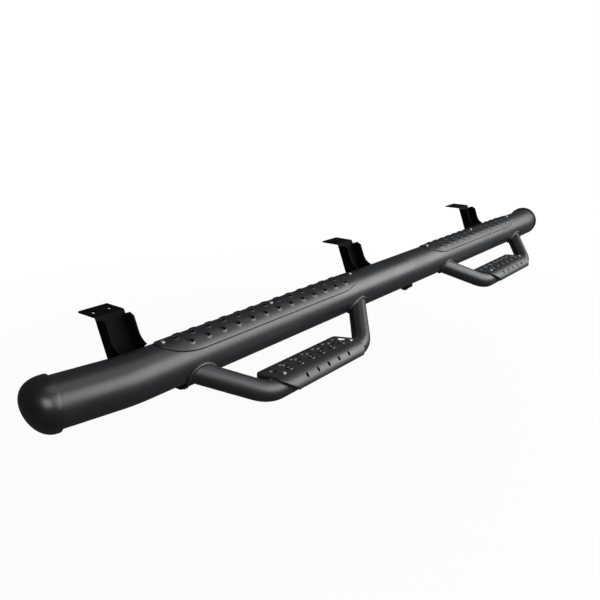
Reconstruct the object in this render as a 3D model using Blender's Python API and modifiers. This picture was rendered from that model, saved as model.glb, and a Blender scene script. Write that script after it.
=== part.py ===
"""Side step for a truck, built from its tubes, plates and fixings.

X runs along the bar towards the front of the truck, +Y points to the truck and
Z points up.  The pieces are first placed around the axis of the main tube, with
X = 0 midway between the two treads.  At the end everything moves so that the
centre of the middle bracket's sill face is the origin.
"""
import math

import bmesh
import bpy
import numpy as np
from mathutils import Matrix, Vector

# Driving dimensions in metres
CLEARANCE = 0.0003

MAIN_RADIUS = 0.0508
MAIN_WALL = 0.0025
MAIN_SIDES = 24
REAR_STRAIGHT_END = -0.952
FRONT_STRAIGHT_END = 1.026
END_BEND_RADIUS = 0.300
END_BEND_ANGLE = math.radians(10.5)
REAR_LEG = 0.120
FRONT_LEG = 0.020

PLACES = ("rear", "front")
HOOP_CENTRES = (-0.532, 0.5877)
HOOP_RADIUS = 0.02415
HOOP_WALL = 0.0022
HOOP_SIDES = 16
HOOP_ARM_X = 0.344
HOOP_ARM_Z = 0.0004
HOOP_RUN_X = 0.1825
HOOP_RUN_Y = -0.1320
HOOP_RUN_Z = -0.0863
HOOP_BEND_RADIUS = 0.080
HOOP_BORE_EXTRA = 0.010
HOOP_SADDLE_EXTRA = 0.056
WELD_RADIUS = 0.0032

TREAD_CENTRES = (-0.553, 0.553)
TREAD_HALF_WIDTH = 0.0505
TREAD_THICKNESS = 0.0020
TREAD_GAP = 0.0006
TREAD_PITCH = 0.0462
TREAD_ROW_STEP = 0.0244
TREAD_ROW_COUNTS = (13, 14, 13)
TREAD_MARGIN = 0.0497
TREAD_END = 0.100
TREAD_SCREW_INSET = 0.017
TREAD_HALF_LENGTH = 0.5 * (max(TREAD_ROW_COUNTS) - 1) * TREAD_PITCH + TREAD_MARGIN
TREAD_STRAIGHT = TREAD_HALF_LENGTH - TREAD_END
TREAD_SCREW_X = TREAD_HALF_LENGTH - TREAD_SCREW_INSET
DIMPLE_SIDES = 6
DIMPLE_FOOT = 0.0088
DIMPLE_HOLE = 0.0052
DIMPLE_RISE = 0.0024

PAD_THICKNESS = 0.0030
PAD_INNER_Y = -0.0785
PAD_FLAT_END_Y = -0.1346
PAD_CORNER_RADIUS = 0.012
PAD_NOSE_RADIUS = 0.0305
PAD_NOSE_ANGLES = tuple(math.radians(angle) for angle in (0.0, 20.0, 41.0, 59.0, 74.0, 88.0))
PAD_REAR_REACH = (0.1700, 0.1610, 0.1160)
PAD_FRONT_REACH = (0.1300, 0.1530, 0.1400)
PAD_SKIRT_DEPTH = 0.0120
PAD_SKIRT_FRONT_DEPTH = 0.0050
PAD_SKIRT_STOPS = ((0.0405, 0.0045), (0.0345, 0.0090))
PAD_ROWS_Y = (-0.0900, -0.1057, -0.1245)
PAD_RAISED_X = tuple(0.0407 * (index - 2.5) for index in range(6))
PAD_SUNK_X = tuple(0.0437 * (index - 3.0) - 0.006 for index in range(6))
PAD_SIGHT_X = 0.1251
PAD_SIGHT_HOLE = 0.0105
PAD_SLOT_ANGLE = math.radians(50.0)
PAD_SLOT_PITCH = 0.0407
PAD_SLOT_HALF_WIDTH = 0.0030
PAD_SLOT_HALF_LENGTH = 0.0046
PAD_SCREW_X = 0.1298
PAD_SCREW_Y = -0.1316

CAP_RADIUS = 0.0536
CAP_SLEEVE = 0.017
CAP_DOME = 0.036
CAP_PLUG_DEPTH = 0.030
CAP_WALL = 0.0030

BRACKET_X = (-0.937, -0.101, 0.698)
BRACKET_NAMES = ("rear", "middle", "front")
BRACKET_HALF_WIDTH = 0.035
BRACKET_THICKNESS = 0.0040
BRACKET_LEAN = math.radians(21.0)
BRACKET_TOP_Z = 0.108
BRACKET_TOP_Y = (
    MAIN_RADIUS + CLEARANCE + BRACKET_TOP_Z * math.sin(BRACKET_LEAN)
) / math.cos(BRACKET_LEAN)
BRACKET_WEB_LENGTH = 0.160
BRACKET_FLANGE_DEPTH = 0.027
BRACKET_EAR = 0.016
BRACKET_FLANGE_LENGTH = 0.106
BRACKET_FOOT_DEPTH = 0.058
BRACKET_FOLD_RADIUS = 0.006
BRACKET_SLOT_X = 0.019
BRACKET_SLOT_HALF_WIDTH = 0.0045
BRACKET_SLOT_HALF_LENGTH = 0.011

LUG_X = (-0.838, 0.095, 1.010)
LUG_HALF_LENGTH = 0.022
LUG_HALF_WIDTH = 0.016
LUG_BOTTOM = 0.0595
LUG_HEAD_HEIGHT = 0.0075
LUG_HEAD_RADIUS = 0.0110
LUG_FLANGE_RADIUS = 0.0145
LUG_SHANK_RADIUS = 0.0050
LUG_SHANK_LENGTH = 0.022

SCREW_HEAD_RADIUS = 0.0058
SCREW_HEAD_HEIGHT = 0.0030
SCREW_SHANK_RADIUS = 0.0026
SCREW_SHANK_LENGTH = 0.0100

SILL_FACE = Vector((
    BRACKET_X[1],
    BRACKET_TOP_Y + 0.5 * BRACKET_FOOT_DEPTH,
    BRACKET_TOP_Z,
))


def clear_scene():
    """Remove whatever objects the file opened with."""
    for item in list(bpy.data.objects):
        bpy.data.objects.remove(item, do_unlink=True)


def make_collections():
    """One collection for the step and one for the shapes that only cut."""
    parts = bpy.data.collections.new("truck_side_step")
    cutters = bpy.data.collections.new("cutters")
    bpy.context.scene.collection.children.link(parts)
    bpy.context.scene.collection.children.link(cutters)
    return parts, cutters


def make_material(name, color, metallic, roughness):
    """A plain Principled material."""
    material = bpy.data.materials.new(name)
    material.use_nodes = True
    shader = material.node_tree.nodes["Principled BSDF"]
    shader.inputs["Base Color"].default_value = (*color, 1.0)
    shader.inputs["Metallic"].default_value = metallic
    shader.inputs["Roughness"].default_value = roughness
    material.diffuse_color = (*color, 1.0)
    return material


def add_part(name, mesh, finish, smooth=35.0):
    """A named piece of the step with its own material."""
    color, metallic, roughness = FINISHES[finish]
    item = bpy.data.objects.new(name, mesh)
    PARTS.objects.link(item)
    mesh.materials.clear()
    mesh.materials.append(make_material(name + "_" + finish, color, metallic, roughness))
    mesh.shade_smooth()
    mesh.set_sharp_from_angle(angle=math.radians(smooth))
    return item


def add_cutter(name, mesh):
    """A shape that is only used in a Boolean."""
    item = bpy.data.objects.new(name, mesh)
    CUTTERS.objects.link(item)
    item.hide_render = True
    item.display_type = "WIRE"
    return item


def add_boolean(item, operation, other):
    """A live Boolean between two closed meshes."""
    modifier = item.modifiers.new(operation.lower() + "_" + other.name, "BOOLEAN")
    modifier.operation = operation
    modifier.solver = "EXACT"
    modifier.object = other
    return modifier


def mesh_from_bmesh(bm, name):
    """Close a bmesh off into a mesh with outward faces."""
    bmesh.ops.recalc_face_normals(bm, faces=bm.faces)
    mesh = bpy.data.meshes.new(name)
    bm.to_mesh(mesh)
    bm.free()
    return mesh


def tube_mesh(name, points, radius, sides, cyclic=False):
    """A round bar along a path: a poly curve with a bevel, made into a mesh."""
    curve = bpy.data.curves.new(name, "CURVE")
    curve.dimensions = "3D"
    curve.bevel_depth = radius
    curve.bevel_resolution = (sides - 4) // 2
    curve.use_fill_caps = not cyclic
    curve.twist_mode = "MINIMUM"
    spline = curve.splines.new("POLY")
    spline.points.add(len(points) - 1)
    for slot, point in zip(spline.points, points):
        slot.co = (*point, 1.0)
    spline.use_cyclic_u = cyclic
    drawn = bpy.data.objects.new(name, curve)
    bpy.context.scene.collection.objects.link(drawn)
    bpy.context.view_layer.update()
    evaluated = drawn.evaluated_get(bpy.context.evaluated_depsgraph_get())
    mesh = bpy.data.meshes.new_from_object(evaluated)
    bpy.data.objects.remove(drawn, do_unlink=True)
    bm = bmesh.new()
    bm.from_mesh(mesh)
    bpy.data.meshes.remove(mesh)
    bmesh.ops.remove_doubles(bm, verts=bm.verts, dist=1e-6)
    return mesh_from_bmesh(bm, name)


def prism_mesh(name, outline, matrix, depth):
    """A flat outline in local x and y, pushed along local z by depth."""
    bm = bmesh.new()
    ring = [bm.verts.new((x, y, 0.0)) for x, y in outline]
    face = bm.faces.new(ring)
    pushed = bmesh.ops.extrude_face_region(bm, geom=[face])
    top = [v for v in pushed["geom"] if isinstance(v, bmesh.types.BMVert)]
    bmesh.ops.translate(bm, verts=top, vec=(0.0, 0.0, depth))
    bmesh.ops.transform(bm, matrix=matrix, verts=bm.verts)
    return mesh_from_bmesh(bm, name)


def join_meshes(name, meshes):
    """Several separate closed shapes in one mesh."""
    bm = bmesh.new()
    for mesh in meshes:
        bm.from_mesh(mesh)
        bpy.data.meshes.remove(mesh)
    return mesh_from_bmesh(bm, name)


def cylinder_mesh(name, start, direction, radius, length, sides=12):
    """A round pin from start along direction."""
    bm = bmesh.new()
    bmesh.ops.create_cone(
        bm, cap_ends=True, segments=sides, radius1=radius, radius2=radius, depth=length
    )
    turn = Vector((0.0, 0.0, 1.0)).rotation_difference(Vector(direction).normalized())
    middle = Vector(start) + Vector(direction).normalized() * (0.5 * length)
    matrix = Matrix.Translation(middle) @ turn.to_matrix().to_4x4()
    bmesh.ops.transform(bm, matrix=matrix, verts=bm.verts)
    return mesh_from_bmesh(bm, name)


def turned_part(name, profile, matrix, steps, finish, smooth=40.0):
    """A turned piece: the profile of (radius, height) spun by a Screw modifier."""
    bm = bmesh.new()
    verts = [bm.verts.new((radius, 0.0, height)) for radius, height in profile]
    for first, second in zip(verts[:-1], verts[1:]):
        bm.edges.new((first, second))
    mesh = bpy.data.meshes.new(name)
    bm.to_mesh(mesh)
    bm.free()
    item = add_part(name, mesh, finish, smooth)
    item.matrix_world = matrix
    screw = item.modifiers.new("turn", "SCREW")
    screw.axis = "Z"
    screw.angle = math.tau
    screw.steps = steps
    screw.render_steps = steps
    screw.use_merge_vertices = True
    screw.merge_threshold = 0.00005
    screw.use_smooth_shade = True
    return item


def bore_radius(radius, sides):
    """Radius of a many-sided hole whose flats still clear a round pin."""
    return (radius + CLEARANCE) / math.cos(math.pi / sides)


def stadium(half_width, half_length, sides=4):
    """Outline of a slot that is long in y."""
    straight = half_length - half_width
    points = []
    for end in (1.0, -1.0):
        for step in range(sides + 1):
            angle = math.pi * step / sides + (0.0 if end > 0.0 else math.pi)
            x = half_width * math.cos(angle)
            y = half_width * math.sin(angle) + end * straight
            points.append((x, y))
    return points


def main_path(extra=0.0):
    """Axis of the main tube, with both ends turned in towards the truck."""
    steps = 3

    def end_points(start, leg, sign):
        points = []
        for step in range(steps + 1):
            angle = END_BEND_ANGLE * step / steps
            x = start + sign * END_BEND_RADIUS * math.sin(angle)
            y = END_BEND_RADIUS * (1.0 - math.cos(angle))
            points.append(Vector((x, y, 0.0)))
        heading = Vector((sign * math.cos(END_BEND_ANGLE), math.sin(END_BEND_ANGLE), 0.0))
        points.append(points[-1] + heading * (leg + extra))
        return points

    rear = end_points(REAR_STRAIGHT_END, REAR_LEG, -1.0)
    front = end_points(FRONT_STRAIGHT_END, FRONT_LEG, 1.0)
    return rear[::-1] + front


def hoop_corners(centre):
    """The four points that a hoop's axis would join without its bends."""
    run = (HOOP_RUN_Y, HOOP_RUN_Z)
    return [
        Vector((centre - HOOP_ARM_X, 0.0, HOOP_ARM_Z)),
        Vector((centre - HOOP_RUN_X, *run)),
        Vector((centre + HOOP_RUN_X, *run)),
        Vector((centre + HOOP_ARM_X, 0.0, HOOP_ARM_Z)),
    ]


def hoop_path(centre, steps=4):
    """Axis of a hoop with its two round bends."""
    corners = hoop_corners(centre)
    points = [corners[0]]
    for before, corner, after in zip(corners[:-2], corners[1:-1], corners[2:]):
        back = (before - corner).normalized()
        ahead = (after - corner).normalized()
        half = 0.5 * back.angle(ahead)
        middle = corner + (back + ahead).normalized() * (HOOP_BEND_RADIUS / math.sin(half))
        reach = HOOP_BEND_RADIUS / math.tan(half)
        first = (corner + back * reach - middle).normalized()
        last = (corner + ahead * reach - middle).normalized()
        for step in range(steps + 1):
            points.append(middle + first.slerp(last, step / steps) * HOOP_BEND_RADIUS)
    points.append(corners[3])
    return points


def weld_path(centre, side, count=14):
    """Closed line that keeps a bead clear of both the hoop and the main tube."""
    corners = hoop_corners(centre)
    base, corner = (corners[0], corners[1]) if side < 0 else (corners[3], corners[2])
    along = np.array((base - corner).normalized())
    across = np.cross(along, (1.0, 0.0, 0.0))
    across /= np.linalg.norm(across)
    third = np.cross(along, across)
    hoop_reach = (HOOP_RADIUS + WELD_RADIUS + CLEARANCE) / math.cos(math.pi / count)
    main_reach = MAIN_RADIUS + WELD_RADIUS + 2.0 * CLEARANCE
    angles = np.linspace(0.0, 2.0 * np.pi, count, endpoint=False)[:, None]
    ring = np.array(corner) + hoop_reach * (np.cos(angles) * across + np.sin(angles) * third)
    square = along[1] ** 2 + along[2] ** 2
    mixed = ring[:, 1] * along[1] + ring[:, 2] * along[2]
    rest = ring[:, 1] ** 2 + ring[:, 2] ** 2 - main_reach ** 2
    reach = (-mixed - np.sqrt(mixed ** 2 - square * rest)) / square
    return [Vector(point) for point in ring + reach[:, None] * along]


class Sheet:
    """A flat sheet with pressed holes; it is drawn flat and folded at the end."""

    def __init__(self, thickness):
        self.bm = bmesh.new()
        self.thickness = thickness
        self.known = {}

    def vert(self, x, y, z):
        """The vertex at a place, made once."""
        key = (round(x, 7), round(y, 7), round(z, 7))
        if key not in self.known:
            self.known[key] = self.bm.verts.new((x, y, z))
        return self.known[key]

    def band(self, lower, upper):
        """Quads between two closed rings of vertices."""
        count = len(lower)
        for index in range(count):
            after = (index + 1) % count
            self.bm.faces.new((lower[index], lower[after], upper[after], upper[index]))

    def annulus(self, outer, inner):
        """Triangles between two rings, each a list of (angle, vertex)."""
        ends = outer + [(math.tau + outer[0][0], outer[0][1])]
        starts = inner + [(math.tau + inner[0][0], inner[0][1])]
        i = 0
        j = 0
        while i < len(outer) or j < len(inner):
            take_outer = j == len(inner) or (i < len(outer) and ends[i + 1][0] <= starts[j + 1][0])
            if take_outer:
                self.bm.faces.new((ends[i][1], ends[i + 1][1], starts[j][1]))
                i += 1
            else:
                self.bm.faces.new((ends[i][1], starts[j + 1][1], starts[j][1]))
                j += 1

    def press(self, x, y, up=True):
        """The wall of one pressed hole, from the dimple's foot to the far mouth."""
        near_z, rim_z, far_z = 0.0, -DIMPLE_RISE, self.thickness
        if up:
            near_z, rim_z, far_z = self.thickness, self.thickness + DIMPLE_RISE, 0.0
        turn = math.tau / DIMPLE_SIDES

        def ring(radius, z):
            return [
                (turn * step, self.vert(
                    x + radius * math.cos(turn * step), y + radius * math.sin(turn * step), z
                ))
                for step in range(DIMPLE_SIDES)
            ]

        foot = ring(DIMPLE_FOOT, near_z)
        rim = ring(DIMPLE_HOLE, rim_z)
        mouth = ring(DIMPLE_HOLE, far_z)
        self.band([vert for angle, vert in foot], [vert for angle, vert in rim])
        self.band([vert for angle, vert in rim], [vert for angle, vert in mouth])
        return foot, mouth

    def cell(self, x, y, half_x, half_y):
        """A rectangle of sheet round one raised hole."""
        corners = [(1, 0), (1, 1), (0, 1), (-1, 1), (-1, 0), (-1, -1), (0, -1), (1, -1)]

        def edge(z):
            return [
                (math.atan2(v, u) % math.tau, self.vert(x + u * half_x, y + v * half_y, z))
                for u, v in corners
            ]

        foot, mouth = self.press(x, y)
        self.annulus(edge(self.thickness), foot)
        self.annulus(edge(0.0), mouth)

    def fill(self, outline):
        """Triangles between the pressed cells and an outline round them."""
        for z in (0.0, self.thickness):
            rim = [
                edge for edge in self.bm.edges
                if len(edge.link_faces) == 1
                and all(abs(vert.co.z - z) < 1e-7 for vert in edge.verts)
            ]
            ring = [self.vert(x, y, z) for x, y in outline]
            for first, second in zip(ring, ring[1:] + ring[:1]):
                rim.append(self.bm.edges.new((first, second)))
            bmesh.ops.triangle_fill(self.bm, edges=rim, use_beauty=True, normal=(0.0, 0.0, 1.0))

    def strip(self, first, second):
        """One plain strip of sheet between two lines of two points each."""
        for z in (0.0, self.thickness):
            self.bm.faces.new([self.vert(x, y, z) for x, y in first + second[::-1]])

    def wall(self, outline):
        """The cut edge of the sheet."""
        lower = [self.vert(x, y, 0.0) for x, y in outline]
        upper = [self.vert(x, y, self.thickness) for x, y in outline]
        self.band(lower, upper)

    def score(self, cuts):
        """Cut the sheet along lines of constant y so that it can be rolled."""
        for y in sorted(set(cuts)):
            everything = self.bm.verts[:] + self.bm.edges[:] + self.bm.faces[:]
            bmesh.ops.bisect_plane(
                self.bm, geom=everything, dist=1e-6, plane_co=(0.0, y, 0.0),
                plane_no=(0.0, 1.0, 0.0)
            )

    def fold(self, name, shape):
        """Move every vertex by the folding rule and hand the mesh over."""
        bmesh.ops.dissolve_degenerate(self.bm, dist=1e-5, edges=self.bm.edges)
        bmesh.ops.triangulate(self.bm, faces=self.bm.faces)
        for vert in self.bm.verts:
            vert.co = shape(*vert.co)
        return mesh_from_bmesh(self.bm, name)


def tread_mesh(name, centre):
    """A long pressed plate rolled over the top of the main tube."""
    sheet = Sheet(TREAD_THICKNESS)
    half_x = 0.5 * TREAD_PITCH
    half_y = 0.5 * TREAD_ROW_STEP
    for row, count in enumerate(TREAD_ROW_COUNTS):
        y = (row - 1) * TREAD_ROW_STEP
        for index in range(count):
            x = (index - 0.5 * (count - 1)) * TREAD_PITCH
            sheet.cell(x, y, half_x, half_y)
    outline = []
    steps = 5
    reach = TREAD_HALF_LENGTH - TREAD_STRAIGHT
    for side in (1.0, -1.0):
        for step in range(2 * steps + 1):
            angle = math.pi * step / (2 * steps)
            x = side * (TREAD_STRAIGHT + reach * math.sin(angle))
            y = -side * TREAD_HALF_WIDTH * math.cos(angle)
            outline.append((x, y))
        for step in range(1, 10):
            x = side * TREAD_STRAIGHT * (1.0 - step / 5.0)
            outline.append((x, side * TREAD_HALF_WIDTH))
    block = 1.5 * TREAD_ROW_STEP
    cuts = [0.0]
    for y in (half_y, TREAD_ROW_STEP, block):
        cuts += [y, -y]
    sheet.fill(outline)
    sheet.wall(outline)
    sheet.score(cuts)
    base = MAIN_RADIUS + TREAD_GAP

    def rolled(x, y, z):
        angle = y / (base + TREAD_THICKNESS)
        radius = base + z
        return Vector((centre + x, -radius * math.sin(angle), radius * math.cos(angle)))

    return sheet.fold(name, rolled)


PAD_UNDER_Z = HOOP_RUN_Z + HOOP_RADIUS + 2.0 * CLEARANCE
PAD_TOP_Z = PAD_UNDER_Z + PAD_THICKNESS
PAD_FLAT_LENGTH = PAD_INNER_Y - PAD_FLAT_END_Y


def pad_section(v):
    """Place on the underside of the pad and its outward normal, v from the inner edge."""
    if v < PAD_FLAT_LENGTH:
        return (PAD_INNER_Y - v, PAD_UNDER_Z), (0.0, 1.0)
    angle = (v - PAD_FLAT_LENGTH) / PAD_NOSE_RADIUS
    normal = (-math.sin(angle), math.cos(angle))
    y = PAD_FLAT_END_Y + PAD_NOSE_RADIUS * normal[0]
    z = PAD_UNDER_Z - PAD_NOSE_RADIUS + PAD_NOSE_RADIUS * normal[1]
    return (y, z), normal


def rounded_corner(before, corner, after, radius, steps=2):
    """Points of the arc that takes a corner off a flat outline."""
    before, corner, after = (Vector(point) for point in (before, corner, after))
    back = (before - corner).normalized()
    ahead = (after - corner).normalized()
    half = 0.5 * back.angle(ahead)
    middle = corner + (back + ahead).normalized() * (radius / math.sin(half))
    reach = radius / math.tan(half)
    first = (corner + back * reach - middle).normalized()
    last = (corner + ahead * reach - middle).normalized()
    turn = first.angle(last)
    points = []
    for step in range(steps + 1):
        part = step / steps
        spoke = first * math.sin((1.0 - part) * turn) + last * math.sin(part * turn)
        points.append(tuple(middle + spoke * (radius / math.sin(turn))))
    return points


def pad_flat_outline(end_v):
    """Rear end, rounded inner corners and front end of the flat top: (x, v)."""
    part = end_v / PAD_FLAT_LENGTH
    rear = [PAD_REAR_REACH[0], PAD_REAR_REACH[0] + (PAD_REAR_REACH[1] - PAD_REAR_REACH[0]) * part]
    front = [
        PAD_FRONT_REACH[0],
        PAD_FRONT_REACH[0] + (PAD_FRONT_REACH[1] - PAD_FRONT_REACH[0]) * part,
    ]
    corners = [(-rear[1], end_v), (-rear[0], 0.0), (front[0], 0.0), (front[1], end_v)]
    points = [corners[0]]
    points += rounded_corner(*corners[:3], PAD_CORNER_RADIUS)
    points += rounded_corner(*corners[1:], PAD_CORNER_RADIUS)
    points.append(corners[3])
    return points


def pad_nose_lines():
    """Both ends of each scored line over the nose: (rear x, front x, v)."""
    lines = []
    for angle in PAD_NOSE_ANGLES:
        part = angle / PAD_NOSE_ANGLES[-1]
        rear = PAD_REAR_REACH[1] + (PAD_REAR_REACH[2] - PAD_REAR_REACH[1]) * part ** 2
        front = PAD_FRONT_REACH[1] + (PAD_FRONT_REACH[2] - PAD_FRONT_REACH[1]) * part ** 2
        lines.append((-rear, front, PAD_FLAT_LENGTH + angle * PAD_NOSE_RADIUS))
    return lines


def pad_mesh(name, centre):
    """The punched step plate of one hoop, flat on top and rolled over the nose."""
    sheet = Sheet(PAD_THICKNESS)
    for row, places in enumerate((PAD_RAISED_X, PAD_SUNK_X, PAD_RAISED_X)):
        for x in places:
            sheet.press(x, PAD_INNER_Y - PAD_ROWS_Y[row], up=row != 1)
    flat = pad_flat_outline(PAD_FLAT_LENGTH)
    nose = pad_nose_lines()
    sheet.fill(flat)
    for (rear, front, v), (next_rear, next_front, next_v) in zip(nose[:-1], nose[1:]):
        sheet.strip([(rear, v), (front, v)], [(next_rear, next_v), (next_front, next_v)])
    rear_side = [(rear, v) for rear, front, v in nose[1:]]
    front_side = [(front, v) for rear, front, v in nose[1:]]
    sheet.wall(rear_side[::-1] + flat + front_side)

    def folded(x, v, height):
        (y, z), normal = pad_section(v)
        return Vector((centre + x, y + height * normal[0], z + height * normal[1]))

    return sheet.fold(name, folded)


def pad_skirt(centre):
    """Turned-down edge round the flat top; its rear end rises over the hoop, and
    its front end is shallow."""
    path = [Vector(point) for point in pad_flat_outline(PAD_SKIRT_STOPS[0][0])]
    rear_end, rear_corner = path[0], path[1]
    stops = []
    for v, depth in PAD_SKIRT_STOPS:
        part = (rear_end.y - v) / (rear_end.y - rear_corner.y)
        stops.append((rear_end.lerp(rear_corner, part), depth))
    path = [point for point, depth in stops] + path[1:]
    depths = [depth for point, depth in stops] + [PAD_SKIRT_DEPTH] * (len(path) - len(stops))
    for back in range(1, 4):
        part = max(back - 2, 0) / 2.0
        depths[-back] = PAD_SKIRT_FRONT_DEPTH * (1.0 - part) + PAD_SKIRT_DEPTH * part
    bm = bmesh.new()
    rings = []
    for index, point in enumerate(path):
        before = path[max(index - 1, 0)]
        after = path[min(index + 1, len(path) - 1)]
        first = (point - before).normalized() if index else (after - point).normalized()
        second = (after - point).normalized() if index < len(path) - 1 else first
        out = Vector((first.y, -first.x)) + Vector((second.y, -second.x))
        out *= 2.0 / out.length_squared
        ring = []
        for side, drop in (
            (0.0005, 0.0012), (0.0005, depths[index]),
            (0.0005 - PAD_THICKNESS, depths[index]), (0.0005 - PAD_THICKNESS, 0.0012),
        ):
            u, v = point + out * side
            ring.append(bm.verts.new((centre + u, PAD_INNER_Y - v, PAD_TOP_Z - drop)))
        rings.append(ring)
    for first, second in zip(rings[:-1], rings[1:]):
        for index in range(4):
            beside = (index + 1) % 4
            bm.faces.new((first[index], first[beside], second[beside], second[index]))
    bm.faces.new(rings[0])
    bm.faces.new(rings[-1][::-1])
    bmesh.ops.triangulate(bm, faces=bm.faces)
    return mesh_from_bmesh(bm, "skirt")


def pad_slot_cutter(name, centre):
    """The slots in the rounded nose and the big round hole by the front end."""
    v = PAD_FLAT_LENGTH + PAD_SLOT_ANGLE * PAD_NOSE_RADIUS
    (y, z), normal = pad_section(v)
    out = Vector((0.0, *normal))
    along = Vector((1.0, 0.0, 0.0))
    frame = Matrix((along, out.cross(along), out)).transposed().to_4x4()
    meshes = []
    for index in range(-2, 3):
        place = Vector((centre + index * PAD_SLOT_PITCH, y, z)) - out * 0.003
        matrix = Matrix.Translation(place) @ frame
        outline = stadium(PAD_SLOT_HALF_WIDTH, PAD_SLOT_HALF_LENGTH, 2)
        meshes.append(prism_mesh("slot", outline, matrix, 0.009))
    sight = (centre + PAD_SIGHT_X, PAD_ROWS_Y[1], PAD_UNDER_Z - 0.002)
    meshes.append(cylinder_mesh("sight", sight, (0, 0, 1), PAD_SIGHT_HOLE, 0.008, 12))
    return join_meshes(name, meshes)


def cap_profile():
    """Hollow push-on end cap: plug, shoulder, sleeve and dome, outer side first."""
    bore = MAIN_RADIUS - MAIN_WALL
    plug_outer = bore * math.cos(math.pi / MAIN_SIDES) - CLEARANCE
    base = CLEARANCE
    points = []
    for step in range(6):
        angle = 0.5 * math.pi * (1.0 - step / 5.0)
        radius = CAP_RADIUS * math.cos(angle) if step else 0.0
        points.append((radius, CAP_SLEEVE + CAP_DOME * math.sin(angle)))
    points += [
        (CAP_RADIUS, base + 0.003),
        (CAP_RADIUS - 0.0015, base),
        (plug_outer, base),
        (plug_outer, -CAP_PLUG_DEPTH + 0.002),
        (plug_outer - 0.001, -CAP_PLUG_DEPTH),
        (plug_outer - CAP_WALL, -CAP_PLUG_DEPTH),
        (plug_outer - CAP_WALL, CAP_SLEEVE - CAP_WALL),
    ]
    inner_radius = plug_outer - CAP_WALL
    inner_dome = CAP_DOME - CAP_WALL
    for step in range(1, 4):
        angle = 0.5 * math.pi * step / 3.0
        radius = inner_radius * math.cos(angle) if step < 3 else 0.0
        points.append((radius, CAP_SLEEVE - CAP_WALL + inner_dome * math.sin(angle)))
    return points


def screw_profile():
    """Button-headed screw, head at the top."""
    head = SCREW_HEAD_RADIUS
    return [
        (0.0, SCREW_HEAD_HEIGHT),
        (0.55 * head, 0.92 * SCREW_HEAD_HEIGHT),
        (0.88 * head, 0.60 * SCREW_HEAD_HEIGHT),
        (head, 0.20 * SCREW_HEAD_HEIGHT),
        (head, 0.0),
        (SCREW_SHANK_RADIUS, 0.0),
        (SCREW_SHANK_RADIUS, -SCREW_SHANK_LENGTH),
        (0.0, -SCREW_SHANK_LENGTH),
    ]


def bracket_point(down, outward):
    """Side view (y, z) of a place measured down the web and out from its face."""
    y = BRACKET_TOP_Y - down * math.sin(BRACKET_LEAN) - outward * math.cos(BRACKET_LEAN)
    z = BRACKET_TOP_Z - down * math.cos(BRACKET_LEAN) + outward * math.sin(BRACKET_LEAN)
    return (y, z)


def bracket_strip_outline():
    """Side view (y, z) of the web and the sill foot as one bent strip."""
    thick = BRACKET_THICKNESS
    radius = BRACKET_FOLD_RADIUS
    reach = radius * math.tan(0.5 * (0.5 * math.pi - BRACKET_LEAN))
    centre = bracket_point(reach, -radius)
    outer = []
    inner = []
    steps = 4
    for step in range(steps + 1):
        angle = math.pi - BRACKET_LEAN - (0.5 * math.pi - BRACKET_LEAN) * step / steps
        ray = (math.cos(angle), math.sin(angle))
        outer.append((centre[0] + ray[0] * radius, centre[1] + ray[1] * radius))
        inner.append((
            centre[0] + ray[0] * (radius - thick), centre[1] + ray[1] * (radius - thick)
        ))
    foot_end = BRACKET_TOP_Y + BRACKET_FOOT_DEPTH
    points = [bracket_point(BRACKET_WEB_LENGTH, 0.0)] + outer
    points += [(foot_end, BRACKET_TOP_Z), (foot_end, BRACKET_TOP_Z - thick)]
    points += inner[::-1]
    points.append(bracket_point(BRACKET_WEB_LENGTH, -thick))
    return points


def bracket_flange_outline():
    """Side view (y, z) of a side flange that widens to saddle the main tube."""
    root = -0.5 * BRACKET_THICKNESS
    deep = BRACKET_FLANGE_DEPTH
    ear = BRACKET_EAR
    length = BRACKET_FLANGE_LENGTH
    places = [
        (0.010, root),
        (0.010, deep - 0.010),
        (0.020, deep),
        (0.055, deep),
        (0.067, deep + 0.15 * ear),
        (0.076, deep + 0.50 * ear),
        (0.084, deep + ear),
        (0.100, deep + ear),
        (length, 0.008),
        (length, root),
    ]
    return [bracket_point(down, outward) for down, outward in places]


def side_matrix(x):
    """Local x and y become world y and z, and depth runs along world x."""
    return Matrix((
        (0.0, 0.0, 1.0, x),
        (1.0, 0.0, 0.0, 0.0),
        (0.0, 1.0, 0.0, 0.0),
        (0.0, 0.0, 0.0, 1.0),
    ))


def build_bracket(name, x, saddle, tube_saddle):
    """Welded bracket: bent strip, two saddled flanges and a slotted foot."""
    outline = bracket_strip_outline()
    left = x - BRACKET_HALF_WIDTH
    strip = prism_mesh(name, outline, side_matrix(left), 2.0 * BRACKET_HALF_WIDTH)
    item = add_part(name, strip, "coat")
    flanges = []
    for start in (left, left + 2.0 * BRACKET_HALF_WIDTH - BRACKET_THICKNESS):
        outline = bracket_flange_outline()
        flanges.append(prism_mesh("flange", outline, side_matrix(start), BRACKET_THICKNESS))
    both = add_cutter(name + "_flanges", join_meshes(name + "_flanges", flanges))
    add_boolean(both, "DIFFERENCE", saddle)
    add_boolean(item, "UNION", both)
    if x - BRACKET_HALF_WIDTH < REAR_STRAIGHT_END:
        add_boolean(item, "DIFFERENCE", tube_saddle)
    slots = []
    y = BRACKET_TOP_Y + 0.5 * BRACKET_FOOT_DEPTH
    for side in (-1.0, 1.0):
        matrix = Matrix.Translation((x + side * BRACKET_SLOT_X, y, BRACKET_TOP_Z - 0.010))
        shape = stadium(BRACKET_SLOT_HALF_WIDTH, BRACKET_SLOT_HALF_LENGTH, 3)
        slots.append(prism_mesh("slot", shape, matrix, 0.020))
    cutter = add_cutter(name + "_slots", join_meshes(name + "_slots", slots))
    add_boolean(item, "DIFFERENCE", cutter)
    return item


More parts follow.
